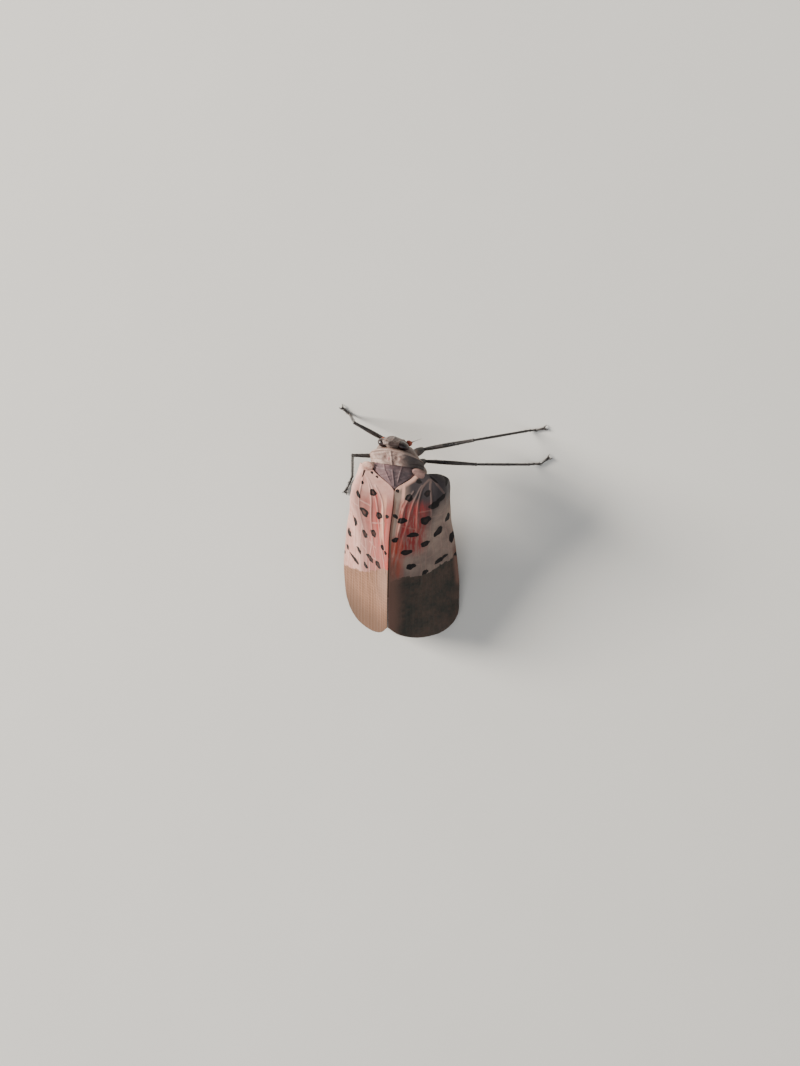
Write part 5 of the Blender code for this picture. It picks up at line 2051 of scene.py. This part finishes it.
@dataclass
class Skin:
    """One skin over head, thorax, abdomen and hips."""

    stance: Stance
    trunk: Trunk
    voxel: float = 0.07
    segments: int = 7
    abdomen_start: float = 7.9
    hip_steps: tuple[float, ...] = (-0.5, 0.15, 0.6, 1.05, 1.4, 1.62)
    hip_radii: tuple[float, ...] = (0.5, 0.46, 0.48, 0.42, 0.33, 0.2)
    snout: tuple[tuple[float, float], ...] = ((0.62, 1.2), (0.42, 1.5), (0.28, 1.72), (0.24, 1.85))
    snout_radii: tuple[float, ...] = (0.5, 0.36, 0.2, 0.08)

    def loft(
        self, place: Callable[[Points, Points, Points], Points], sides: int, rings: int,
        blunt: float,
    ) -> Form:
        """A closed form along an axis, from a sphere that is drawn out.

        Args:
            place: Gives body-frame points from the share of the axis and a point of the unit disc.
            sides: Divisions round.
            rings: Divisions along.
            blunt: Below 1 for blunter ends.

        Returns:
            The form, standing.
        """
        bm = bmesh.new()
        bmesh.ops.create_uvsphere(bm, u_segments=sides, v_segments=rings, radius=1.0)
        points = np.array([vert.co for vert in bm.verts])
        reach = np.hypot(points[:, 0], points[:, 1])
        scale = np.where(reach > 1e-4, np.maximum(reach, 1e-4) ** (blunt - 1), 0.0)
        placed = self.stance.place(
            place(0.5 - 0.5 * points[:, 2], points[:, 0] * scale, points[:, 1] * scale)
        )
        for vert, point in zip(bm.verts, placed):
            vert.co = point
        bmesh.ops.recalc_face_normals(bm, faces=bm.faces)
        if bm.calc_volume(signed=True) < 0:
            bmesh.ops.reverse_faces(bm, faces=bm.faces)
        return bm

    def along_body(self, part: Section, aside: float = 0.0) -> Callable:
        """Placing function of a form along the body, or along a line beside its middle.

        Args:
            part: The stretch of the body.
            aside: How far beside the middle it lies.

        Returns:
            The function, ready for loft.
        """

        def place(t: Points, x: Points, y: Points) -> Points:
            """Places the form's points.

            Args:
                t: Shares of the way from its front to its rear.
                x: Places across, from -1 to 1.
                y: Places upwards, from -1 to 1.

            Returns:
                Body-frame points, one a row.
            """
            s = part.start + (part.end - part.start) * t
            top = part.top(s)
            middle = (top + part.bottom(s)) / 2
            return np.stack(
                [aside + part.width(s) * x, HEAD_TIP - s, middle + (top - middle) * y], 1
            )

        return place

    def head_place(self, t: Points, x: Points, y: Points) -> Points:
        """Places the head's form from its top down.

        Args:
            t: Shares of the way down.
            x: Places across, from -1 to 1.
            y: Places from nape to face, from -1 to 1.

        Returns:
            Body-frame points, one a row.
        """
        height = self.trunk.head_top - self.trunk.head_height * t
        middle = (self.trunk.face(height) + self.trunk.nape(height)) / 2
        s = middle - (middle - self.trunk.face(height)) * y
        return np.stack([self.trunk.head_width(height) * x, HEAD_TIP - s, height], 1)

    def build(self) -> Piece:
        """Builds the skin, its relief and its masks.

        Returns:
            The finished piece.
        """
        trunk = self.trunk
        forms = [
            self.loft(self.head_place, 48, 48, 0.5),
            self.loft(self.along_body(trunk.thorax), 48, 48, 0.45),
            self.loft(self.along_body(trunk.abdomen), 48, 60, 0.55),
            self.loft(self.along_body(trunk.nape_of_neck), 48, 32, 0.6),
        ]
        for side in Side:
            root = self.along_body(trunk.wing_root, trunk.root_aside * side.value)
            forms.append(self.loft(root, 32, 24, 0.7))
        snout = [self.stance.body_point(0, s, z) for s, z in self.snout]
        forms.append(sweep(snout, self.snout_radii, 20))
        for plan in LEG_PLANS:
            root, way = trunk.hip(plan)
            path = [root + way * step for step in self.hip_steps]
            path = [self.stance.body_point(p.x, HEAD_TIP - p.y, p.z) for p in path]
            forms.append(sweep(path, self.hip_radii, 20))
        mesh = self.melt(mesh_of("body_skin", gather(forms)))
        self.sculpt(mesh)
        nodes = ["head", "thorax", "abdomen"] + [f"coxa_{plan.name}" for plan in LEG_PLANS]
        return finish_piece(mesh, BODY_SKIN, nodes)

    def melt(self, mesh: Mesh) -> Mesh:
        """Fuses overlapping forms into one closed, even skin.

        Args:
            mesh: The forms' mesh, which is used up.

        Returns:
            The fused mesh.
        """
        holder = bpy.data.objects.new("melting", mesh)
        bpy.context.scene.collection.objects.link(holder)
        remesh = holder.modifiers.new("melt", "REMESH")
        remesh.mode = "VOXEL"
        remesh.voxel_size = self.voxel
        soften = holder.modifiers.new("soften", "SMOOTH")
        soften.factor = 0.5
        soften.iterations = 4
        bpy.context.view_layer.update()
        graph = bpy.context.evaluated_depsgraph_get()
        fused = bpy.data.meshes.new_from_object(holder.evaluated_get(graph))
        bpy.data.objects.remove(holder)
        bpy.data.meshes.remove(mesh)
        fused.name = "body_skin"
        return fused

    def sculpt(self, mesh: Mesh) -> None:
        """Raises keels and rims, cuts grooves between segments, and stores the masks.

        Args:
            mesh: The fused mesh.
        """
        points = read_points(mesh)
        normals = np.empty(len(mesh.vertices) * 3, np.float32)
        mesh.vertices.foreach_get("normal", normals)
        normals = normals.reshape(-1, 3).astype(float)
        x, ahead, z = self.stance.undo(points).T
        s = HEAD_TIP - ahead
        neck = 0.62 + (1.6 - z) * 0.41
        head = fade(s, neck + 0.12, neck - 0.12) * fade(z, -3.0, -2.7)
        cheek, chest = self.trunk.head_width(z), self.trunk.thorax.bottom(s)
        head *= fade(np.abs(x), cheek + 0.45, cheek + 0.25)
        belly = fade(s, self.abdomen_start - 0.25, self.abdomen_start)
        limb = fade(z, chest + 0.1, chest - 0.3) * (1 - belly) * (1 - head)
        rise = self.face_relief(x, s, z) * head
        length = self.trunk.abdomen.end - self.abdomen_start
        ring = (s - self.abdomen_start) / length * self.segments
        place = ring - np.floor(ring)
        step = 0.16 * (fade(place, 0.0, 0.9) - 0.5)
        groove = bump_shape(np.minimum(place, 1 - place), 0.09) * belly
        rise += step * belly * fade(s, 16.4, 15.8) - 0.04 * groove
        rise += 0.06 * bump_shape(z + 0.75, 0.22) * belly * fade(np.abs(x), 0.5, 1.2)
        seam = bump_shape(s - 3.9 - 0.25 * z, 0.13) + bump_shape(s - 5.9 - 0.2 * z, 0.13)
        seam = np.clip(seam, 0, 1) * (1 - belly) * (1 - head) * (1 - limb)
        rise -= 0.09 * seam
        neck_line = bump_shape(s - neck, 0.16) * fade(z, -2.4, -2.0)
        rise -= 0.07 * neck_line
        write_points(mesh, points + normals * rise[:, None])
        band = np.where(z > -0.4, fade(z, -0.4, 0.0), fade(np.abs(x), 0.4, 0.9) * 0.9)
        band *= belly * fade(place, 0.12, 0.3) * fade(place, 0.96, 0.82)
        # Whitish wax on the head, stronger on its left side as a painted highlight, and some on top
        # of the thorax.
        wax = head * (0.35 + 0.4 * fade(x, 0.2, -0.9))
        wax = np.maximum(wax, 0.3 * (1 - belly) * fade(z, -0.5, 0.6))
        write_masks(mesh, "zone", (head, belly, band))
        write_masks(
            mesh, "accent", (wax, limb, np.clip(seam + groove * 0.6 + neck_line * 0.8, 0, 1))
        )

    def face_relief(self, x: Points, s: Points, z: Points) -> Points:
        """Keels of the face and crown, the line over the clypeus, and rims round the eyes.

        Args:
            x: Places across.
            s: Distances behind the tip of the head.
            z: Heights.

        Returns:
            The relief's heights.
        """
        side = np.abs(x)
        width = self.trunk.head_width(z)
        outer = 0.09 * bump_shape(side - width * 0.78, 0.13) * fade(z, -1.5, -1.1)
        inner = 0.07 * bump_shape(side - 0.34 * fade(z, -1.0, 0.4), 0.1)
        inner *= fade(z, -1.2, -0.9) * fade(z, 1.5, 1.2)
        middle = 0.06 * bump_shape(side, 0.1) * fade(z, -1.3, -1.5)
        line = 0.08 * bump_shape(z + 1.3 + 0.25 * side, 0.1)
        crown = 0.08 * bump_shape(z - 1.5 + 0.3 * side, 0.1) * fade(side, 0.25, 0.45)
        eye = np.hypot((s - 1.02) / 0.66, (z - 0.45) / 0.86)
        rim = 0.08 * bump_shape(eye - 1.0, 0.16) * fade(side, 0.7, 0.95)
        socket = np.hypot(s - 1.22, z + 0.82)
        cup = 0.07 * bump_shape(socket - 0.44, 0.12) * fade(side, 0.6, 0.85)
        return outer + inner + middle - line + crown + rim + cup


@dataclass
class HeadParts:
    """Eyes, feelers and the beak; places are x, s and z."""

    stance: Stance
    eye_place: Triple = (1.0, 1.02, 0.45)
    eye_half: Triple = (0.7, 0.52, 0.76)
    eye_turn: float = math.radians(-24.0)
    bead_place: Triple = (1.06, 0.2, -0.92)
    bead_radius: float = 0.085
    stalk_place: Triple = (0.85, 1.22, -0.72)
    bulb_place: Triple = (1.32, 1.3, -0.88)
    bristle_end: Triple = (2.7, 0.85, -1.55)
    stalk_radii: tuple[float, ...] = (0.17, 0.16, 0.2, 0.28, 0.31, 0.27, 0.15, 0.08)
    bristle_radii: tuple[float, ...] = (0.05, 0.06, 0.05, 0.028, 0.02, 0.014, 0.008)
    beak_start: tuple[float, float] = (2.0, -2.55)
    beak_end: tuple[float, float] = (7.2, -3.1)
    beak_shares: tuple[float, ...] = (
        0, 0.06, 0.16, 0.3, 0.31, 0.34, 0.55, 0.68, 0.69, 0.72, 0.88, 1.0
    )
    beak_radii: tuple[float, ...] = (
        0.2, 0.27, 0.26, 0.24, 0.2, 0.24, 0.23, 0.21, 0.18, 0.2, 0.15, 0.05
    )
    beak_dip: float = 0.42

    def build(self) -> None:
        """Builds them on both sides."""
        for side in Side:
            self.eye(side)
            self.feeler(side)
        self.beak()

    def eye(self, side: Side) -> Piece:
        """A bulging oval eye, sunk a little in its rim, with the small simple eye below it.

        Args:
            side: The side that it is on.

        Returns:
            The finished piece.
        """
        bm = bmesh.new()
        bmesh.ops.create_icosphere(bm, subdivisions=5, radius=1.0)
        whole = len(bm.verts)
        bead = Matrix.Translation(self.bead_place)
        bmesh.ops.create_icosphere(bm, subdivisions=3, radius=self.bead_radius, matrix=bead)
        mesh = mesh_of(f"eye_{side.label}", bm)
        points = read_points(mesh)
        out, ahead, up = points.T * np.array(self.eye_half)[:, None]
        sine, cosine = math.sin(self.eye_turn), math.cos(self.eye_turn)
        full = (self.eye_place[0] + out, ahead * cosine - up * sine, ahead * sine + up * cosine)
        small = np.arange(len(points)) >= whole
        x, y, z = (np.where(small, bare, row) for bare, row in zip(points.T, full))
        y, z = HEAD_TIP - self.eye_place[1] + y, self.eye_place[2] + z
        placed = np.stack([side.value * x, y, z], 1)
        write_points(mesh, self.stance.place(placed))
        return finish_piece(mesh, EYE_DARK, [f"eye_{side.label}"])

    def feeler(self, side: Side) -> Piece:
        """A short stalk, the pitted bulb and its thin bristle.

        Args:
            side: The side that it is on.

        Returns:
            The finished piece.
        """
        places = (self.stalk_place, self.bulb_place, self.bristle_end)
        root, bulb, tip = (Vector((x * side.value, HEAD_TIP - s, z)) for x, s, z in places)
        way = (tip - bulb).normalized()
        path = [root, root.lerp(bulb, 0.4)]
        path += [bulb + way * step for step in (-0.24, -0.12, 0.05, 0.2, 0.32, 0.38)]
        stalk = sweep(path, self.stalk_radii, 28)
        fine = [bulb + way * step for step in (0.34, 0.42, 0.5, 0.56)]
        fine += [bulb.lerp(tip, share) for share in (0.6, 0.8, 1.0)]
        bristle = sweep(fine, self.bristle_radii, 10)
        mesh = mesh_of(f"antenna_{side.label}", gather([stalk, bristle]))
        points = read_points(mesh)
        away = (points - np.array(bulb)) @ np.array(way)
        write_masks(mesh, "pattern", (fade(away, 0.34, 0.42),))
        write_points(mesh, self.stance.place(points))
        return finish_piece(mesh, FEELER_ORANGE, [f"antenna_{side.label}"])

    def beak(self) -> Piece:
        """The jointed beak that lies back between the hips.

        Returns:
            The finished piece.
        """
        start, end = Vector((0, *self.beak_start)), Vector((0, *self.beak_end))
        path = []
        for share in self.beak_shares:
            spot = start.lerp(end, share)
            dip = -self.beak_dip * ease(np.array(share / 0.2))
            path.append(self.stance.body_point(0.0, spot.y, spot.z + float(dip) * (1 - share)))
        mesh = mesh_of("beak", sweep(path, self.beak_radii, 20, 0.85))
        return finish_piece(mesh, SPINE_BLACK, ["beak"])


# Studio


@dataclass(frozen=True)
class Lamp:
    """A square soft light that looks at the insect."""

    name: str
    place: Triple
    size: float
    power: float
    colour: Triple

    def build(self) -> None:
        """Hangs the lamp."""
        data = bpy.data.lights.new(self.name, "AREA")
        data.energy, data.color, data.size = self.power, self.colour, self.size
        lamp = bpy.data.objects.new(self.name, data)
        lamp.location = self.place
        lamp.rotation_euler = (-Vector(self.place)).to_track_quat("-Z", "Y").to_euler()
        bpy.context.scene.collection.objects.link(lamp)


LAMPS = (
    Lamp("key", (-0.66, 0.16, 0.3), 0.24, 16.0, (1.0, 0.94, 0.86)),
    Lamp("fill", (0.6, -0.1, 0.5), 0.6, 1.0, (0.9, 0.95, 1.0)),
    Lamp("top", (0.0, -0.2, 0.9), 0.8, 3.0, (1.0, 1.0, 1.0)),
)


@dataclass
class Studio:
    """Floor, lights and the camera."""

    target: Vector
    side_angle: float = 11.0
    tilt: float = 18.0
    roll: float = 5.0
    distance: float = 0.35
    height_seen: float = 0.116
    floor_half: float = 1.5
    sensor: float = 36.0
    sky: Colour = (0.9, 0.93, 1.0, 1.0)
    sky_power: float = 0.26

    def build(self) -> None:
        """Sets up the whole studio."""
        self.floor()
        self.camera()
        self.lights()

    def floor(self) -> None:
        """A wide pale floor."""
        bm = bmesh.new()
        bmesh.ops.create_grid(bm, x_segments=8, y_segments=8, size=self.floor_half)
        made = bpy.data.objects.new("studio_floor", mesh_of("studio_floor", bm))
        made.data.materials.append(FLOOR.make())
        bpy.context.scene.collection.objects.link(made)

    def camera(self) -> None:
        """The camera, turned with the insect as the photograph has it."""
        a, t, r = (math.radians(angle) for angle in (self.side_angle, self.tilt, self.roll))
        back = Vector((math.sin(a), math.cos(a) * math.sin(t), math.cos(a) * math.cos(t)))
        right = Vector((0, 1, 0)).cross(back).normalized()
        above = back.cross(right)
        sine, cosine = math.sin(r), math.cos(r)
        right, above = right * cosine + above * sine, above * cosine - right * sine
        eye = self.target + back * self.distance
        data = bpy.data.cameras.new("camera")
        data.sensor_width = self.sensor
        data.lens = data.sensor_width * self.distance / self.height_seen
        data.clip_start, data.clip_end = 0.01, 10.0
        camera = bpy.data.objects.new("camera", data)
        rows = [(right[i], above[i], back[i], eye[i]) for i in range(3)]
        camera.matrix_world = Matrix((*rows, (0, 0, 0, 1)))
        bpy.context.scene.collection.objects.link(camera)
        bpy.context.scene.camera = camera

    def lights(self) -> None:
        """A key light low at the left, a weak fill at the right, soft light from all over."""
        for lamp in LAMPS:
            lamp.build()
        world = bpy.data.worlds.new("studio")
        world.use_nodes = True
        background = world.node_tree.nodes["Background"]
        background.inputs["Color"].default_value = self.sky
        background.inputs["Strength"].default_value = self.sky_power
        bpy.context.scene.world = world


VIEW_CENTRE = (0.35, -6.35, 7.4)


def main() -> None:
    """Builds the insect's looks around the frame, piece by piece."""
    logging.basicConfig(level=logging.INFO, format="%(name)s: %(message)s")
    stance = Stance.of_frame()
    trunk, roof = Trunk(), Roof()
    Studio(stance.floor_point(*VIEW_CENTRE) * MM).build()
    for side in Side:
        # The left wing takes the painted sunlit colours, the right the darker copy with painted
        # shade.
        finish = WING_LEFT_PAINTED_SUNLIT if side is Side.LEFT else WING_RIGHT_PAINTED_SHADE
        Forewing(side, stance, roof, **FORE_MARGINS).build("forewing", finish, Slot.FOREWING)
        hindwing = Hindwing(side, stance, roof, **HIND_MARGINS, depth=HIND_DEPTH)
        hindwing.build("hindwing", HINDWING, Slot.HINDWING)
    BackPlates(stance).build()
    Skin(stance, trunk).build()
    HeadParts(stance).build()
    for plan in LEG_PLANS:
        Leg(plan, stance, trunk).build()


if __name__ == "__main__":
    main()
